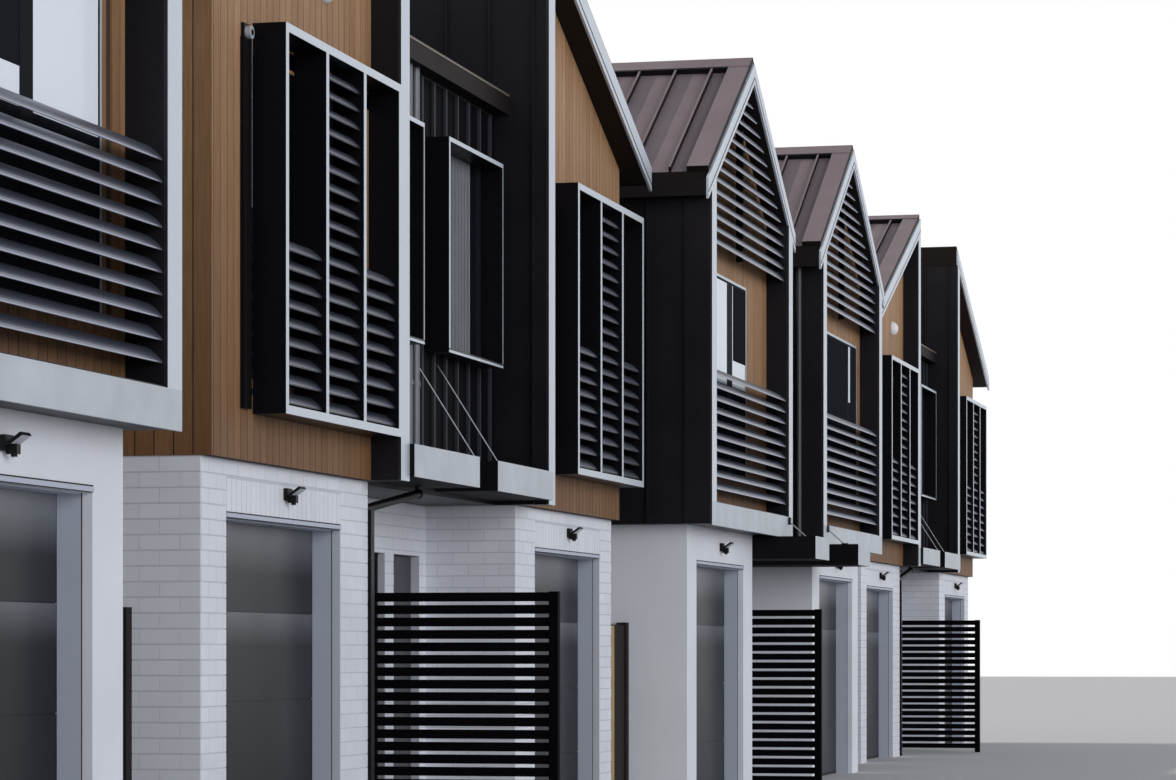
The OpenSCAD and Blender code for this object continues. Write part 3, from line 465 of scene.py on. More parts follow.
def board_wall(bm, house, u0, u1, y, out, z0, top, window):
    """Boards along u under a sloped top, left out over a window opening."""
    u = u0
    while u < u1 - 0.01:
        end = min(u + BOARD - BOARD_GAP, u1)
        runs = [(z0, None)]
        if u < window[1] and end > window[0]:
            runs = [(z0, window[2]), (window[3], None)]
        for low, high in runs:
            a = top(u) if high is None else high
            b = top(end) if high is None else high
            corners = ((u, low), (end, low), (end, b), (u, a))
            add_board(bm, [at(house, side, y, z) for side, z in corners], out * BOARD_PROUD)
        u += BOARD


front_boards = shaded_mesh()
rear_boards = shaded_mesh()
side_boards = shaded_mesh()
for house in T_HOUSES:
    board_wall(front_boards, house, T_FIN, T_WIDTH, -TIMBER_FWD, SOUTH, BASE_TOP, t_under, T_WINDOW)
    board_wall(rear_boards, house, T_FIN, T_WIDTH, TIMBER_BACK, NORTH, BASE_TOP, t_under, T_WINDOW)
    outwards = Vector((house[1], 0, 0))
    y = -TIMBER_FWD - BOARD_PROUD
    top = t_under(T_WIDTH)
    while y < TIMBER_BACK:
        end = min(y + BOARD - BOARD_GAP, TIMBER_BACK + BOARD_PROUD)
        corners = ((y, BASE_TOP), (end, BASE_TOP), (end, top), (y, top))
        add_board(side_boards, [at(house, T_WIDTH, *c) for c in corners], outwards * BOARD_PROUD)
        y += BOARD
for house in L_HOUSES:
    board_wall(front_boards, house, L_FIN, L_WIDTH - L_FIN, L_FACE, SOUTH, FLOOR_TOP, l_under, L_WINDOW)
# One more board covers the far jamb of the first window, which is narrower than its opening.
start = L_LIGHTS_END[0] + 0.001
far, low, high = L_WINDOW[1:]
jamb = ((start, low), (far, low), (far, high), (start, high))
add_board(front_boards, [at(L_HOUSES[0], u, L_FACE, z) for u, z in jamb], SOUTH * BOARD_PROUD)
for house in L_HOUSES:
    board_wall(rear_boards, house, L_FIN, L_WIDTH - L_FIN, TIMBER_BACK, NORTH, FLOOR_TOP, l_under,
               L_WINDOW)
piece(front_boards, "front_timber_boards", timber)
piece(rear_boards, "rear_timber_boards", timber)
piece(side_boards, "side_timber_boards", timber)

# Dark clad side walls, fins, gable backs and storey soffits: roll-formed steel trays with upright seams.
# The paint is a satin near-black that turns a little brown in patches.
SEAM = 0.333
SEAM_W = 0.014
SEAM_H = 0.028
L_FIN_FWD = 0.650
T_FIN_FWD = 0.250
L_SEAM_IN = 0.200
T_SEAM_IN = 0.090
LINK_Y = 0.150
T_LINK_TOP = 5.300
L_LINK_TOP = 4.850
LINK_ROOF_H = 0.220
dark_steel, place = finish("dark coated steel cladding", "#1B1B21", 0.45,
                           Metallic=0.4, Specular_IOR_Level=0.25)
tone_and_painted_sheen = tint(dark_steel, speckle(dark_steel, place, 0.5), 0.3, 0.7, "#17181F", "#1F1C20")
join_up(dark_steel, tone_and_painted_sheen)
dress(dark_steel, "clad_side_walls", "gable_walls", "floor_decks")
seams = bmesh.new()
for house in L_HOUSES:
    y = -L_FIN_FWD + L_SEAM_IN
    while y < TIMBER_BACK - 0.05:
        for u, side in ((0.0, -1), (L_WIDTH, 1)):
            top = l_under(u)
            behind_link = side < 0 and house[0] != l1 and y > LINK_Y
            low = L_LINK_TOP + LINK_ROOF_H if behind_link else BASE_TOP
            if top > low:
                add_box(seams, at(house, u, y, low), at(house, u + side * SEAM_H, y + SEAM_W, top))
        y += SEAM
for house in T_HOUSES:
    y = -T_FIN_FWD + T_SEAM_IN
    while y < TIMBER_BACK - 0.05:
        low = T_LINK_TOP + LINK_ROOF_H if y > LINK_Y else BASE_TOP
        add_box(seams, at(house, 0, y, low), at(house, -SEAM_H, y + SEAM_W, t_under(0)))
        y += SEAM
piece(seams, "side_wall_seams", dark_steel)

# Upper walls of the links: matt black ribbed steel sheet between the houses, screwed up in wide pans.
# The ribs are a lighter grey than the pans as a painted highlight, so that they stand out as thin lines in
# the shade.
LINK_WINDOWS = ((0.0, 1.200), (1.810, 1.450))
LINK_SILL = 3.410
LINK_HEAD = 4.900
RIB_START = 0.160
RIB = 0.300
RIB_W = 0.030
RIB_H = 0.022
link_steel = finish("black coated ribbed steel", "#0D0D12", 0.5, Specular_IOR_Level=0.01)[0]
dress(link_steel, "link_piers", "link_infills")
link_ribs = bmesh.new()
for x, width, top, windows in ((t2, T_LINK, T_LINK_TOP, LINK_WINDOWS),
                               (t6, T_LINK, T_LINK_TOP, LINK_WINDOWS), (l4, L_LINK, L_LINK_TOP, ())):
    link = (x, 1)
    u = RIB_START
    while u < width - RIB_W:
        end = u + RIB_W
        runs = [(FLOOR_TOP, top)]
        for start, across in windows:
            if u < start + across and end > start:
                runs = [(FLOOR_TOP, LINK_SILL), (LINK_HEAD, top)]
        for low, high in runs:
            add_box(link_ribs, at(link, u, LINK_Y - RIB_H, low), at(link, end, LINK_Y, high))
        add_box(link_ribs, at(link, u, TIMBER_BACK, FLOOR_TOP), at(link, end, TIMBER_BACK + RIB_H, top))
        u += RIB
# Painted highlight: the ribs are a lighter grey than the black pans.
rib_painted_highlight = finish("ribbed steel with painted highlight on the ribs", "#35373D", 0.5, Specular_IOR_Level=0.1)[0]
piece(link_ribs, "link_wall_ribs", rib_painted_highlight)

# Roofs: steel trays with tall folded seams down the slope, between wide raised flashings on both verges.
# A folded cap closes each ridge over dark closures. The coating is a matt brown grey with faint chalky
# patches where it faces the sky;
# every face that doesn't point up, the undersides and the sides of seams, flashings and caps, is near black
# as painted shade.
ROOF_BACK = TIMBER_BACK + T_FIN_FWD - TIMBER_FWD
T_EAVE = 0.350
L_EAVE = 0.150
GUTTER_W = 0.115
ROOF_SEAM_H = 0.048
ROOF_SEAM_W = 0.020
VERGE_W = 0.190
VERGE_H = 0.052
VERGE_PAN = 0.150
END_T = 0.006
CAP_W = 0.160
CAP_T = 0.006
CAP_LIFT = VERGE_H + 0.004
TOP_FLASHING = 0.200
SLOPES = [(house, 0.0, T_WIDTH + T_EAVE, T_HIGH, T_FALL, T_FIN_FWD) for house in T_HOUSES]
for house in L_HOUSES:
    for eave in (-L_EAVE, L_WIDTH + L_EAVE):
        SLOPES.append((house, L_WIDTH / 2, eave, L_RIDGE, L_FALL, L_FIN_FWD))


def add_bar(bm, start, end, width, height):
    """Flat bar that lies on the line from start to end, as wide as width and height above it."""
    run = end - start
    side = run.cross(Vector((0, 0, 1))).normalized()
    up = side.cross(run).normalized()
    matrix = Matrix.Identity(4)
    middle = (start + end) / 2 + up * height / 2
    for row in range(3):
        matrix[row][0] = run[row]
        matrix[row][1] = side[row] * width
        matrix[row][2] = up[row] * height
        matrix[row][3] = middle[row]
    bmesh.ops.create_cube(bm, size=1.0, matrix=matrix)


def slope_point(slope, run, y, lift=0.0):
    """Point on a roof slope, run metres out from its ridge."""
    house, start, eave, ridge, fall = slope[:5]
    side = 1 if eave > start else -1
    return at(house, start + side * run, y, ridge - fall * run + lift)


def slope_bar(bm, slope, run0, run1, y, width, height, lift=0.0):
    """Bar down a roof slope, between two distances from its ridge."""
    add_bar(bm, slope_point(slope, run0, y, lift), slope_point(slope, run1, y, lift), width, height)


def pointing(material, axis, limit, either_way=False):
    """Mask of the faces that point along an axis by more than the limit."""
    normal = add_node(material, "NewGeometry").outputs["True Normal"]
    part = add_node(material, "SeparateXYZ", links=[("Vector", normal)]).outputs[axis]
    if either_way:
        part = add_node(material, "Math", [("operation", "ABSOLUTE")], [(0, part)]).outputs[0]
    return add_node(material, "Math", [("operation", "GREATER_THAN"), (1, limit)], [(0, part)]).outputs[0]


def blend_tones(material, factor, colour_a, colour_b):
    """Colour a at factor nought and b at one, each a hex value or a socket."""
    mix = add_node(material, "Mix", [("data_type", "RGBA")], [(0, factor)])
    for socket, colour in ((6, colour_a), (7, colour_b)):
        if isinstance(colour, str):
            mix.inputs[socket].default_value = linear(colour)
        else:
            material.node_tree.links.new(colour, mix.inputs[socket])
    return mix.outputs[2]


roof_steel, place = finish("matt coated roofing steel", "#71676B", 0.55, Specular_IOR_Level=0.1)
chalk = tint(roof_steel, speckle(roof_steel, place, 0.8), 0.3, 0.7, "#756A6F", "#84787C")
# Painted shade: faces that don't point up are near black. Faces that point up take the chalky tone.
up_faces_else_painted_shade = pointing(roof_steel, "Z", 0.05)
join_up(roof_steel, blend_tones(roof_steel, up_faces_else_painted_shade, "#1F1918", chalk))
dress(roof_steel, "link_roofs", "half_gable_roofs", "gable_roofs_link_side", "gable_roofs_outer_side")
roof_seams = bmesh.new()
flashings = bmesh.new()
closures = bmesh.new()
verge_ends = bmesh.new()
for slope in SLOPES:
    front = -slope[5]
    run = abs(slope[2] - slope[1]) - GUTTER_W
    y = front + VERGE_W + VERGE_PAN
    while y < ROOF_BACK - VERGE_W - 0.02:
        slope_bar(roof_seams, slope, 0.02, run, y, ROOF_SEAM_W, ROOF_SEAM_H)
        y += SEAM
    for y in (front + VERGE_W / 2, ROOF_BACK - VERGE_W / 2):
        slope_bar(flashings, slope, 0.0, run, y, VERGE_W, VERGE_H)
        slope_bar(verge_ends, slope, run, run + END_T, y, VERGE_W, VERGE_H)
    middle = (front + ROOF_BACK) / 2
    length = ROOF_BACK - front
    slope_bar(flashings, slope, 0.0, CAP_W, middle, length, CAP_T, CAP_LIFT)
    slope_bar(closures, slope, CAP_W - 0.014, CAP_W - 0.008, middle, length, VERGE_H)
for house in T_HOUSES:
    add_box(flashings, at(house, -0.012, -T_FIN_FWD, T_HIGH - TOP_FLASHING),
            at(house, 0.0, ROOF_BACK, T_HIGH + VERGE_H))
piece(roof_seams, "roof_seams", roof_steel)
piece(flashings, "roof_flashings", roof_steel)
piece(closures, "roof_closures", dark_steel)
piece(verge_ends, "verge_ends", roof_steel)

# Silver edges: folded aluminium on the roof ends and fins, with a satin coat, and galvanised sills.
# A dark shadow line parts each barge board from the thin strip under it. The caps on the fins and sills
# return along the walls in the dark wall coat, so that only their fronts look silver.
SHADOW_FROM_UNDER = 0.050
SHADOW_OUT = 0.020
SHADOW_W = 0.004
SHADOW_H = 0.012
silver, place = finish("satin silver aluminium", "#C4CCD6", 0.40, Metallic=0.45)
rough_face(silver, speckle(silver, place, 0.25), 0.001)
dress(silver, "barge_boards", "barge_boards_outer")


def dark_returns(material, front):
    """Front colour on a cap, and the dark wall coat on its sides that run back along the wall."""
    returns = pointing(material, "X", 0.7, either_way=True)
    join_up(material, blend_tones(material, returns, front, "#222126"))


capped, place = finish("satin silver cap with coated returns", "#C4CCD6", 0.40, Metallic=0.3)
dark_returns(capped, "#C4CCD6")
dress(capped, "fin_edges")
weathered, place = finish("weathered galvanised sheet", "#BDBFC2", 0.5, Metallic=0.3)
spots = tint(weathered, speckle(weathered, place, 0.30, 5.0), 0.3, 0.7, "#B4B9C0", "#C0C7CF")
dark_returns(weathered, spots)
dress(weathered, "sill_bands")
shadow_lines = bmesh.new()
for slope in SLOPES:
    lift = SHADOW_FROM_UNDER - (T_ROOF if slope[1] == 0.0 else L_ROOF)
    run = abs(slope[2] - slope[1]) - 0.010
    for y in (-slope[5] - SHADOW_OUT, ROOF_BACK + SHADOW_OUT):
        slope_bar(shadow_lines, slope, 0.0, run, y, SHADOW_W, SHADOW_H, lift)
piece(shadow_lines, "barge_shadow_lines", dark_steel)

# Balustrade and gable blades: extruded aluminium aerofoils, anodised in a satin grey.
# They are fixed between the fins and to the post in the middle of the gable.
PAINTED_HIGHLIGHT_WAY = (0.0, -0.5, -0.866)


def blade_painted_highlight(material):
    """Deep grey on the broad faces of a blade, and a painted highlight on its nose, the faces turned along
    PAINTED_HIGHLIGHT_WAY.
    """
    normal = add_node(material, "NewGeometry").outputs["True Normal"]
    nose = add_node(material, "VectorMath", [("operation", "DOT_PRODUCT"), (1, PAINTED_HIGHLIGHT_WAY)], [(0, normal)])
    raised = add_node(material, "Math", [("operation", "ADD"), (1, 0.25)], [(0, nose.outputs["Value"])])
    return tint(material, raised.outputs[0], 0.15, 0.95, "#5F6474", "#A5AABB")


# The blades carry a painted highlight on their noses and are deep grey elsewhere.
blade_alloy, place = finish("satin grey anodised aluminium", "#62667A", 0.32, Metallic=0.65)
join_up(blade_alloy, blade_painted_highlight(blade_alloy))
dress(blade_alloy, "balustrade_blades")


def framed_blades(name, tone, roughness):
    """Dark coat on the square faces of a frame, and the blade alloy on the tilted blades in it."""
    material, place = finish(name, tone, roughness, Specular_IOR_Level=0.15)
    geometry = add_node(material, "NewGeometry")
    normal = add_node(material, "SeparateXYZ", links=[("Vector", geometry.outputs["True Normal"])]).outputs
    tilt = add_node(material, "Math", [("operation", "MULTIPLY")], [(0, normal["Y"]), (1, normal["Z"])])
    steep = add_node(material, "Math", [("operation", "ABSOLUTE")], [(0, tilt.outputs[0])]).outputs[0]
    blade = add_node(material, "Math", [("operation", "GREATER_THAN"), (1, 0.05)], [(0, steep)]).outputs[0]
    join_up(material, blend_tones(material, blade, tone, blade_painted_highlight(material)))
    shine = add_node(material, "Math", [("operation", "MULTIPLY_ADD"), (1, 0.35), (2, 0.5)], [(0, blade)])
    join_up(material, shine.outputs[0], "Metallic")
    return material


dress(framed_blades("anodised blades on a dark post", "#15151A", 0.34), "gable_louvres")

# Sliding screens on the T fronts: deep folded frames in a near black powder coat.
# Their blades are the same grey aerofoils, and a silver strip faces the frame and its two mullions.
# On left hand houses a round hub and a clipped channel are screwed to the boards beside the frame.
BOX_W = 2.300
BOX_H = 2.230
BOX_Z = 2.700
BOX_EDGE = 0.050
BOX_PAST = 0.040
BOX_BAY = (BOX_W - BOX_EDGE) / 3
BOX_FRONT = -T_FIN_FWD - 0.020
BOX_TOP = BOX_Z + BOX_H
STRIP_T = 0.002
CHANNEL = (-0.215, -0.085, 0.026)
RUNNER = (-0.074, -0.062, 0.020)
RUNNER_LOW = 3.870
RAIL_TOP = BOX_TOP - 0.110
CLIPS = 10
CLIP_U = -0.068
CLIP_LOW = BOX_Z + 0.120
CLIP_PITCH = 0.1085
CLIP_D = 0.022
CLIP_R = 0.018
HUB_U = -0.150
HUB_R = 0.038


def add_rod(bm, start, end, radius, sides):
    """Round rod between two points."""
    run = end - start
    turn = Vector((0, 0, 1)).rotation_difference(run).to_matrix().to_4x4()
    matrix = Matrix.Translation((start + end) / 2) @ turn
    bmesh.ops.create_cone(bm, cap_ends=True, segments=sides, radius1=radius, radius2=radius,
                          depth=run.length, matrix=matrix)


box_coat = framed_blades("near black powder coat with anodised blades", "#16161B", 0.36)
dress(box_coat, "screen_boxes", "screen_rails", "window_box_sides", "window_box_caps")
box_trim = bmesh.new()
guides = bmesh.new()
strips = bmesh.new()
for house in T_HOUSES:
    left_hand = house[1] < 0
    left = house[0] - T_WIDTH if left_hand else house[0]
    box = (left + (T_WIDTH - T_FIN - BOX_W if left_hand else T_WIDTH - BOX_W + BOX_PAST), 1)
    y0 = BOX_FRONT - STRIP_T
    for z in (BOX_Z, BOX_TOP - BOX_EDGE):
        add_box(box_trim, at(box, 0, y0, z), at(box, BOX_W, BOX_FRONT, z + BOX_EDGE))
    for u in (bay * BOX_BAY for bay in range(4)):
        add_box(box_trim, at(box, u, y0, BOX_Z + BOX_EDGE),
                at(box, u + BOX_EDGE, BOX_FRONT, BOX_TOP - BOX_EDGE))
    if left_hand:
        wall = -TIMBER_FWD - BOARD_PROUD
        for bm, (a, b, thick), low in ((guides, CHANNEL, BOX_Z + 0.02), (strips, RUNNER, RUNNER_LOW)):
            add_box(bm, at(box, a, wall - thick, low), at(box, b, wall, RAIL_TOP))
        for i in range(CLIPS):
            clip = at(box, CLIP_U, wall - CLIP_D, CLIP_LOW + CLIP_PITCH * i)
            add_rod(guides, clip, clip - SOUTH * CLIP_D, CLIP_R, 10)
        hub = at(box, HUB_U, wall, RAIL_TOP + 0.030)
        add_box(guides, hub - Vector((0.050, 0.018, 0.050)), hub + Vector((0.075, 0, 0.050)))
        add_rod(strips, hub + SOUTH * 0.050, hub + SOUTH * 0.018, HUB_R, 20)
        add_rod(guides, hub + SOUTH * 0.054, hub + SOUTH * 0.050, 0.016, 14)
piece(box_trim, "screen_box_front_strips", silver)
piece(guides, "screen_side_channels", box_coat)
piece(strips, "screen_runners", silver)

# Windows: aluminium sashes set in the openings behind the screens and balustrades.
# The L windows have a light outer frame, dark sashes and stiles, and tinted glass nearly flush with them.
# Pale blinds hang close to the glass in some of their lights.
T_SASH_IN = 0.080
REAR_SASH_IN = 0.190
L_FRONT_Y = L_FACE - BOARD_PROUD - 0.004
L_FRAME = 0.024
L_SASH = 0.020
L_STILES = ((2.365, 2.520), (1.898, 2.145), (2.805, 2.860))
BLINDS = ((L_HOUSES[0], 2.522, 3.318, 3.785, 4.654), (L_HOUSES[0], 1.276, 2.363, 3.790, 3.970),
          (L_HOUSES[1], 2.147, 3.384, 3.740, 4.654), (L_HOUSES[1], 1.276, 1.866, 3.740, 3.980),
          (L_HOUSES[1], 1.868, 1.896, 3.740, 4.654), (L_HOUSES[2], 2.862, 2.985, 4.050, 4.654))
window_frames = bmesh.new()
light_frames = bmesh.new()
front_glass = bmesh.new()
blinds = bmesh.new()
start, end, low, high = T_WINDOW
for house in T_HOUSES:
    for y in (T_SASH_IN - TIMBER_FWD, TIMBER_BACK - REAR_SASH_IN):
        add_sash(window_frames, house, start, end, y, low, high, bars=[(start + end) / 2], depth=0.110)
start, far, low, high = L_WINDOW
for house, end, stile in zip(L_HOUSES, L_LIGHTS_END, L_STILES):
    add_sash(light_frames, house, start, end, L_FRONT_Y, low, high, width=L_FRAME, depth=0.070)
    add_sash(window_frames, house, start + L_FRAME, end - L_FRAME, L_FRONT_Y + 0.001, low + L_FRAME,
             high - L_FRAME, width=L_SASH, depth=0.012)
    edge = L_FRAME + L_SASH
    add_box(front_glass, at(house, start + edge, L_FRONT_Y + 0.004, low + edge),
            at(house, end - edge, L_FRONT_Y + 0.010, high - edge))
    add_box(window_frames, at(house, stile[0], L_FRONT_Y, low + edge),
            at(house, stile[1], L_FRONT_Y + 0.012, high - edge))
    add_sash(light_frames, house, start, far, TIMBER_BACK - REAR_SASH_IN, low, high,
             bars=[(start + far) / 2], width=0.035, depth=0.090)
for house, u0, u1, z0, z1 in BLINDS:
    add_box(blinds, at(house, u0, L_FRONT_Y + 0.001, z0), at(house, u1, L_FRONT_Y + 0.003, z1))
piece(window_frames, "window_sashes", frame_alloy)
piece(light_frames, "light_window_frames", silver)
dark_pane = finish("dark window glass", "#222429", 0.1, Specular_IOR_Level=0.0)[0]
piece(front_glass, "front_window_glass", dark_pane)
# Woven polyester: a flat pale blue white with the thin gloss of the pane before it.
blind_cloth, place = finish("pale blind behind glass", "#E6EBF5", 0.6,
                            Coat_Weight=0.25, Coat_Roughness=0.03)
weave = tint(blind_cloth, speckle(blind_cloth, place, 0.002), 0.3, 0.7, "#E0E6F1", "#EAEFF8")
join_up(blind_cloth, weave)
piece(blinds, "window_blinds", blind_cloth)

# Link windows: fluted glass set in deep boxes of folded sheet that stand out from the ribbed walls.
# The glass reads as even grey flutes beside one dark stile, and silver strips face the boxes.
SHEET = 0.030
FLUTE = 0.083
FLUTE_R = 0.036
FLUTES_END = (1.100, 2.990)
STILE_W = 0.130
BOX_FACE = -0.022
EDGE_W = 0.018
fluted_glass, place = finish("grey fluted glass", "#484B53", 0.3, Specular_IOR_Level=0.3)
ripple = tint(fluted_glass, speckle(fluted_glass, place, 0.3), 0.3, 0.7, "#4D5158", "#575B62")
join_up(fluted_glass, ripple)
flutes = bmesh.new()
stiles = bmesh.new()
box_fronts = bmesh.new()
low = LINK_SILL + SHEET
high = LINK_HEAD - SHEET
for x in T_LINKS:
    link = (x, 1)
    for (start, width), last in zip(LINK_WINDOWS, FLUTES_END):
        end = start + width
        far = end - SHEET
        add_box(stiles, at(link, far - STILE_W, LINK_Y - 0.010, low), at(link, far, LINK_Y + 0.060, high))
        u = start + SHEET + FLUTE / 2
        while u < last:
            foot = at(link, u, LINK_Y + 0.040, low)
            add_rod(flutes, foot, foot + Vector((0, 0, high - low)), FLUTE_R, 16)
            u += FLUTE
        add_box(box_fronts, at(link, last + 0.035, LINK_Y + 0.020, low),
                at(link, last + 0.045, LINK_Y + 0.040, high))
        for u0, u1, z0, z1 in ((start, end, high, LINK_HEAD), (start, end, LINK_SILL, LINK_SILL + EDGE_W),
                               (start, start + SHEET, low, high), (far + EDGE_W, end, low, high)):
            add_box(box_fronts, at(link, u0, BOX_FACE, z0), at(link, u1, BOX_FACE + STRIP_T, z1))
piece(flutes, "fluted_link_glass", fluted_glass)
piece(stiles, "link_window_stiles", frame_alloy)
piece(box_fronts, "window_box_front_strips", silver)

# Gutters, downpipes and their straps: folded sheet and rolled tube, painted.
# The gutters are dark brown, and the bead along their front is a lighter bronze as a painted highlight.
# The pipes are black up to the first storey and grey above, and darker on the second link.
BEAD_LOW = T_LINK_TOP + 0.152
BEAD_TOP = T_LINK_TOP + 0.168
PIPES_U = (1.290, 1.460)
PIPE_BLACK_TO = 2.465
SECOND_LINK_X = l4 + L_LINK / 2 - ROW_HALF
SECOND_LINK_HALF = 1.200
STRAPS_Z = (3.150, 4.450)
STRAP_H = 0.030
STRAP_R = 0.036
gutter_coat = finish("dark brown gutter coat", "#1C1718", 0.6, Metallic=0.05, Specular_IOR_Level=0.1)[0]
dress(gutter_coat, "gutters")
# Painted highlight: the bead is a lighter bronze than the gutter.
painted_highlight_bead, place = finish("gutter bead with painted highlight", "#6E645C", 0.5, Metallic=0.3)
rough_face(painted_highlight_bead, speckle(painted_highlight_bead, place, 0.02), 0.0004)


def above(material, place, limit):
    """Mask of what lies above a height."""
    parts = add_node(material, "SeparateXYZ", links=[("Vector", place)])
    over = add_node(material, "Math", [("operation", "GREATER_THAN"), (1, limit)], [(0, parts.outputs["Z"])])
    return over.outputs[0]


pipe_coat, place = finish("painted steel pipe", "#7D8087", 0.45, Metallic=0.2)
along_row = add_node(pipe_coat, "SeparateXYZ", links=[("Vector", place)]).outputs["X"]
span = [("operation", "COMPARE"), (1, SECOND_LINK_X), (2, SECOND_LINK_HALF)]
on_second = add_node(pipe_coat, "Math", span, [(0, along_row)]).outputs[0]
upper_tone = blend_tones(pipe_coat, on_second, "#63666D", "#34353A")
pipe_tone = blend_tones(pipe_coat, above(pipe_coat, place, PIPE_BLACK_TO), "#101013", upper_tone)
join_up(pipe_coat, pipe_tone)
dress(pipe_coat, "downpipes")
beads = bmesh.new()
straps = bmesh.new()
for x in T_LINKS:
    link = (x, 1)
    y = LINK_Y - GUTTER_W
    add_box(beads, at(link, 0.0, y - 0.004, BEAD_LOW), at(link, T_LINK, y, BEAD_TOP))
    for u in PIPES_U:
        for z in STRAPS_Z:
            strap = at(link, u, LINK_Y - 0.030, z)
            add_rod(straps, strap, strap + Vector((0, 0, STRAP_H)), STRAP_R, 20)
piece(beads, "link_gutter_beads", painted_highlight_bead)
piece(straps, "downpipe_straps", pipe_coat)

# Entry canopies: folded steel trays in a flat black coat, hung on drawn steel stays with round end plates.
# Galvanised strips face them, and black plastic pipes drain those of the wide links.
CANOPY_Z = 2.460
CANOPY_D = 0.210
CANOPY_W = 1.580
CANOPY_FWD = 0.300
L_CANOPY_FWD = 1.020
L_CANOPY_TOP = BASE_TOP - 0.010
FRONT_T = 0.003
DRAIN_X = -0.013
DRAIN_Y = 0.050
DRAIN_Z = 2.410
DRAIN_FALL = 0.160
DRAIN_R = 0.028
BEND_R = 0.036
SLEEVE = ((-0.038, -0.025), (0.034, 0.076))
PLATE_R = 0.036
PLATE_T = 0.016
STAY_U = 0.220
STAY_Z = 2.582
STAY_OUT = 0.180
canopy_coat = finish("black coated canopy steel", "#0E0E11", 0.6, Specular_IOR_Level=0.08)[0]
dress(canopy_coat, "canopies")
stay_steel = finish("drawn stainless steel", "#8E9297", 0.4, Metallic=0.9)[0]
dress(stay_steel, "canopy_stays")
black_pvc, place = finish("black plastic drain pipe", "#0D0D10", 0.4, Specular_IOR_Level=0.1)
rough_face(black_pvc, speckle(black_pvc, place, 0.05), 0.0003)
fronts = bmesh.new()
drains = bmesh.new()
plates = bmesh.new()
for x in T_LINKS:
    link = (x, 1)
    for a, b in ((0, CANOPY_W), (T_LINK - CANOPY_W, T_LINK)):
        add_box(fronts, at(link, a, -CANOPY_FWD - FRONT_T, CANOPY_Z),
                at(link, b, -CANOPY_FWD, CANOPY_Z + CANOPY_D))
    low = at(link, DRAIN_X, DRAIN_Y, DRAIN_Z - DRAIN_FALL)
    high = at(link, PIPES_U[0], DRAIN_Y, DRAIN_Z)
    add_rod(drains, low, high, DRAIN_R, 20)
    for bend in (low, high):
        matrix = Matrix.Translation(bend)
        bmesh.ops.create_uvsphere(drains, u_segments=20, v_segments=12, radius=BEND_R, matrix=matrix)
    add_box(drains, at(link, *SLEEVE[0], 0.0), at(link, *SLEEVE[1], DRAIN_Z - DRAIN_FALL))
link = (l4, 1)
for a, b in ((-L_INSET_LINK, 0), (L_LINK, L_LINK + L_INSET_LINK)):
    add_box(fronts, at(link, a, -L_CANOPY_FWD - FRONT_T, L_CANOPY_TOP - CANOPY_D),
            at(link, b, -L_CANOPY_FWD, L_CANOPY_TOP))
stay_band = -L_FIN_FWD - 0.020
for u in (-STAY_U, L_LINK + STAY_U):
    top = at(link, u, stay_band - 0.004, STAY_Z)
    foot = at(link, u, stay_band - STAY_OUT, L_CANOPY_TOP)
    add_rod(plates, top + SOUTH * PLATE_T, top, PLATE_R, 24)
    add_rod(plates, foot, foot + Vector((0, 0, PLATE_T)), PLATE_R, 24)
piece(fronts, "canopy_fronts", weathered)
piece(drains, "canopy_drain_covers", black_pvc)
piece(plates, "stay_plate_caps", black_pvc)

# Slatted fences: black aluminium slats between two posts across each porch, powder coated dead matt.
# A flat cap closes every post.
FENCE_TOP = 1.750
FENCE_POST = 0.065
FENCE_FWD = 0.800
CAP_HALF = 0.036
FENCE_CAP_T = 0.005
fence_coat = finish("black powder coated fence", "#0C0C10", 0.5, Specular_IOR_Level=0.01)[0]
dress(fence_coat, "slatted_fences")
caps = bmesh.new()
for x, width in ((t2, T_LINK), (t6, T_LINK), (l4, L_LINK)):
    link = (x + width / 2, 1)
    for y in (-FENCE_FWD, ENTRY_Y - FENCE_POST):
        add_box(caps, at(link, -CAP_HALF, y - 0.003, FENCE_TOP),
                at(link, CAP_HALF, y + FENCE_POST, FENCE_TOP + FENCE_CAP_T))
piece(caps, "fence_post_caps", fence_coat)

# Side gap fences: pine palings 120 mm wide, nailed side by side on both faces of a rail fence.
# Most are stained dark brown, and a few in the second gap are new, pale yellow wood.
PALING = 0.120
PALING_GAP = 0.006
PALING_T = 0.012
PALING_TOP = 1.560
PALING_FACES = (0.018, 0.055)
RIGHT_POST = 0.092
NEW_PALINGS = 0.60
GAPS = ((l1 + L_WIDTH - L_INSET_OUTER, SIDE_GAPS[0] + L_INSET_OUTER, 0.400),
        (t3 + T_WIDTH, SIDE_GAPS[1] + L_INSET_OUTER, 0.090),
        (l5 + L_WIDTH - L_INSET_OUTER, SIDE_GAPS[2] + L_INSET_OUTER, 0.250))


def pine(name, tone, roughness, dark, light, **inputs):
    """Sawn pine with its grain up the paling, in two close tones."""
    material, place = finish(name, tone, roughness, **inputs)
    streaks = tint(material, grain_up(material, place, 0.05, 0.012), 0.3, 0.7, dark, light)
    join_up(material, streaks)
    return material


paling = pine("dark stained pine", "#1E1917", 0.75, "#191514", "#251F1C", Specular_IOR_Level=0.2)
new_pine = pine("fresh treated pine", "#A08A5E", 0.7, "#947E54", "#AD9768")
dress(paling, "side_fences")
palings = bmesh.new()
new_palings = bmesh.new()
for left, width, setback in GAPS:
    gap = (left, 1)
    u = 0.0
    while u < width - RIGHT_POST - 0.003:
        end = min(u + PALING - PALING_GAP, width - RIGHT_POST)
        bm = new_palings if left == t3 + T_WIDTH and u < NEW_PALINGS else palings
        for face in PALING_FACES:
            y = setback + face
            add_box(bm, at(gap, u, y, 0.0), at(gap, end, y + PALING_T, PALING_TOP))
        u += PALING
piece(palings, "side_fence_palings", paling)
piece(new_palings, "new_side_fence_palings", new_pine)

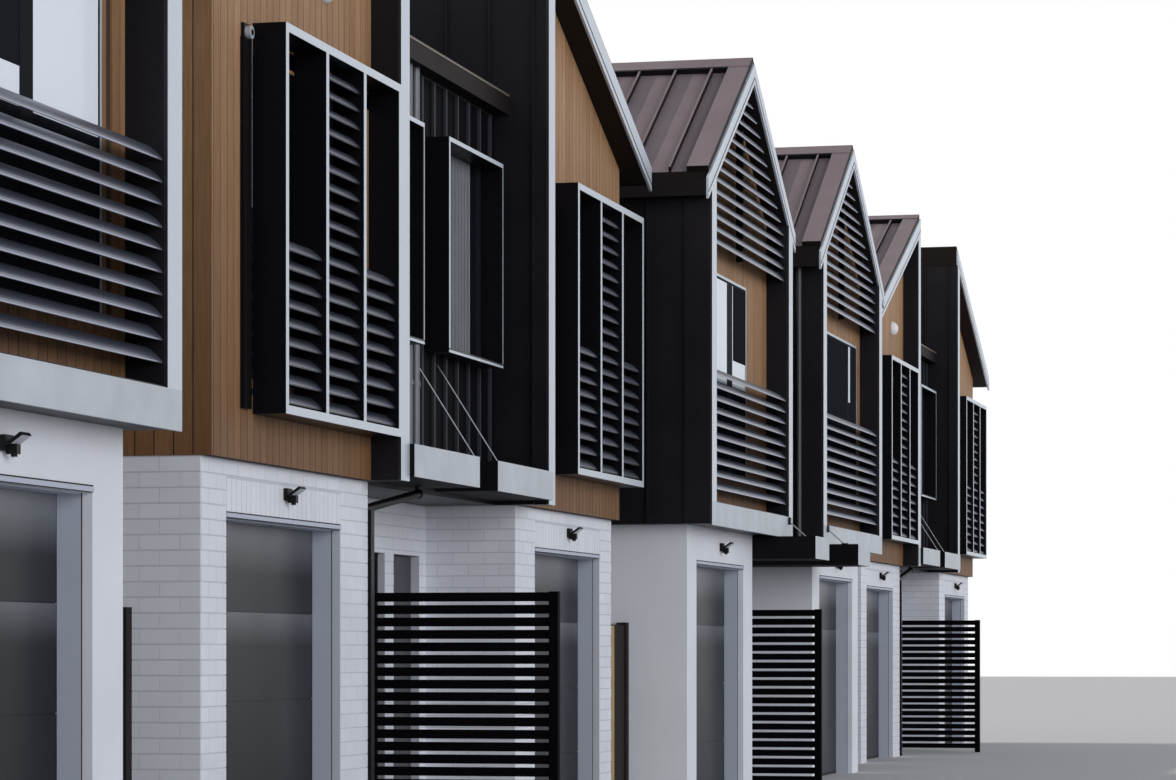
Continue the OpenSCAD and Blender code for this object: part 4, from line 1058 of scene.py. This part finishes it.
# Wall fittings: black sensor lights over the garages, and white half round lights under the T roofs.
# Both are moulded plastic housings screwed to the wall. The lamp and the sensor's eye have a frosted lens.
WHITE_ABOVE = 3.5
LAMP_TILT = math.radians(35)
LAMP_Z = 2.265
LAMP_OUT = 0.034
LENS_RUN = (0.022, 0.084)
LENS_W = 0.094
LENS_T = 0.003
LENS_DROP = 0.0105
EYE_Z = 2.213
EYE_OUT = 0.050
EYE_R = 0.012
EYE_T = 0.004
fitting_plastic, place = finish("moulded plastic", "#141416", 0.45, Specular_IOR_Level=0.15)
high_up = above(fitting_plastic, place, WHITE_ABOVE)
join_up(fitting_plastic, blend_tones(fitting_plastic, high_up, "#141416", "#E6E6E8"))
dress(fitting_plastic, "wall_fittings")
lens_plastic, place = finish("frosted lamp lens", "#B9BCC4", 0.35)
rough_face(lens_plastic, speckle(lens_plastic, place, 0.004), 0.0004)
lenses = bmesh.new()
down = Vector((0, -math.sin(LAMP_TILT), -math.cos(LAMP_TILT))) * LENS_DROP
out = Vector((0, -math.cos(LAMP_TILT), math.sin(LAMP_TILT)))
for house, u, face in garage_fronts:
    middle = u + GARAGE_W / 2
    root = at(house, middle, face - LAMP_OUT, LAMP_Z) + down
    add_bar(lenses, root + out * LENS_RUN[0], root + out * LENS_RUN[1], LENS_W, LENS_T)
    eye = at(house, middle, face - EYE_OUT, EYE_Z)
    add_rod(lenses, eye, eye - Vector((0, 0, EYE_T)), EYE_R, 14)
piece(lenses, "lamp_lenses", lens_plastic)

# Stage: a pale floor, a soft sky that is brighter low down, a broad light on the fronts and a low one from
# behind over the roofs. The camera, its mirrors and glass see the backdrop white.
# The camera stands low beside the first house.
floor_mesh = bmesh.new()
bmesh.ops.create_grid(floor_mesh, x_segments=1, y_segments=1, size=150.0)
floor_data = bpy.data.meshes.new("floor")
floor_mesh.to_mesh(floor_data)
floor_mesh.free()
floor_data.materials.append(finish("pale floor", "#C9CACC", 0.9)[0])
floor = bpy.data.objects.new("floor", floor_data)
bpy.context.scene.collection.objects.link(floor)

sky = bpy.data.worlds.new("studio")
bpy.context.scene.world = sky
sky.use_nodes = True
sky.node_tree.nodes.clear()
view_way = add_node(sky, "TexCoord").outputs["Generated"]
up = add_node(sky, "SeparateXYZ", links=[("Vector", view_way)]).outputs["Z"]
strength = add_node(sky, "Math", [("operation", "MULTIPLY_ADD"), (1, -0.58), (2, 0.76)], [(0, up)])
soft = add_node(sky, "Background", [("Color", linear("#F1F7FF"))], [("Strength", strength.outputs[0])])
seen = add_node(sky, "Background", [("Color", linear("#FFFFFF")), ("Strength", 1.0)])
rays = add_node(sky, "LightPath").outputs
white = rays["Is Camera Ray"]
for ray in ("Is Glossy Ray", "Is Transmission Ray"):
    white = add_node(sky, "Math", [("operation", "MAXIMUM")], [(0, white), (1, rays[ray])]).outputs[0]
mix = add_node(sky, "MixShader", links=[(0, white), (1, soft.outputs[0]), (2, seen.outputs[0])])
add_node(sky, "OutputWorld", links=[("Surface", mix.outputs[0])])

for name, energy, spread, colour, way in (
        ("broad_front_light", 2.25, 50, "#FDFDFF", (0.52, 0.85, -0.05)),
        ("low_rear_light", 2.60, 1, "#FFF3EC", (0.0, -0.86, -0.33))):
    light_data = bpy.data.lights.new(name, 'SUN')
    light_data.energy = energy
    light_data.angle = math.radians(spread)
    light_data.color = linear(colour)[:3]
    light = bpy.data.objects.new(name, light_data)
    light.rotation_euler = Vector(way).to_track_quat('-Z', 'Y').to_euler()
    bpy.context.scene.collection.objects.link(light)

IMAGE_W = 1176
IMAGE_H = 780
HORIZON = 650.5
camera_data = bpy.data.cameras.new("camera")
camera_data.sensor_width = 36.0
camera_data.lens = 107.3
camera_data.shift_y = (HORIZON - IMAGE_H / 2) / IMAGE_W
camera_data.clip_end = 500.0
camera = bpy.data.objects.new("camera", camera_data)
camera.location = (-31.97, -10.475, 1.35)
camera.rotation_euler = (math.radians(90), 0, math.radians(-76.5))
bpy.context.scene.collection.objects.link(camera)
bpy.context.scene.camera = camera
bpy.context.scene.view_settings.view_transform = 'Standard'
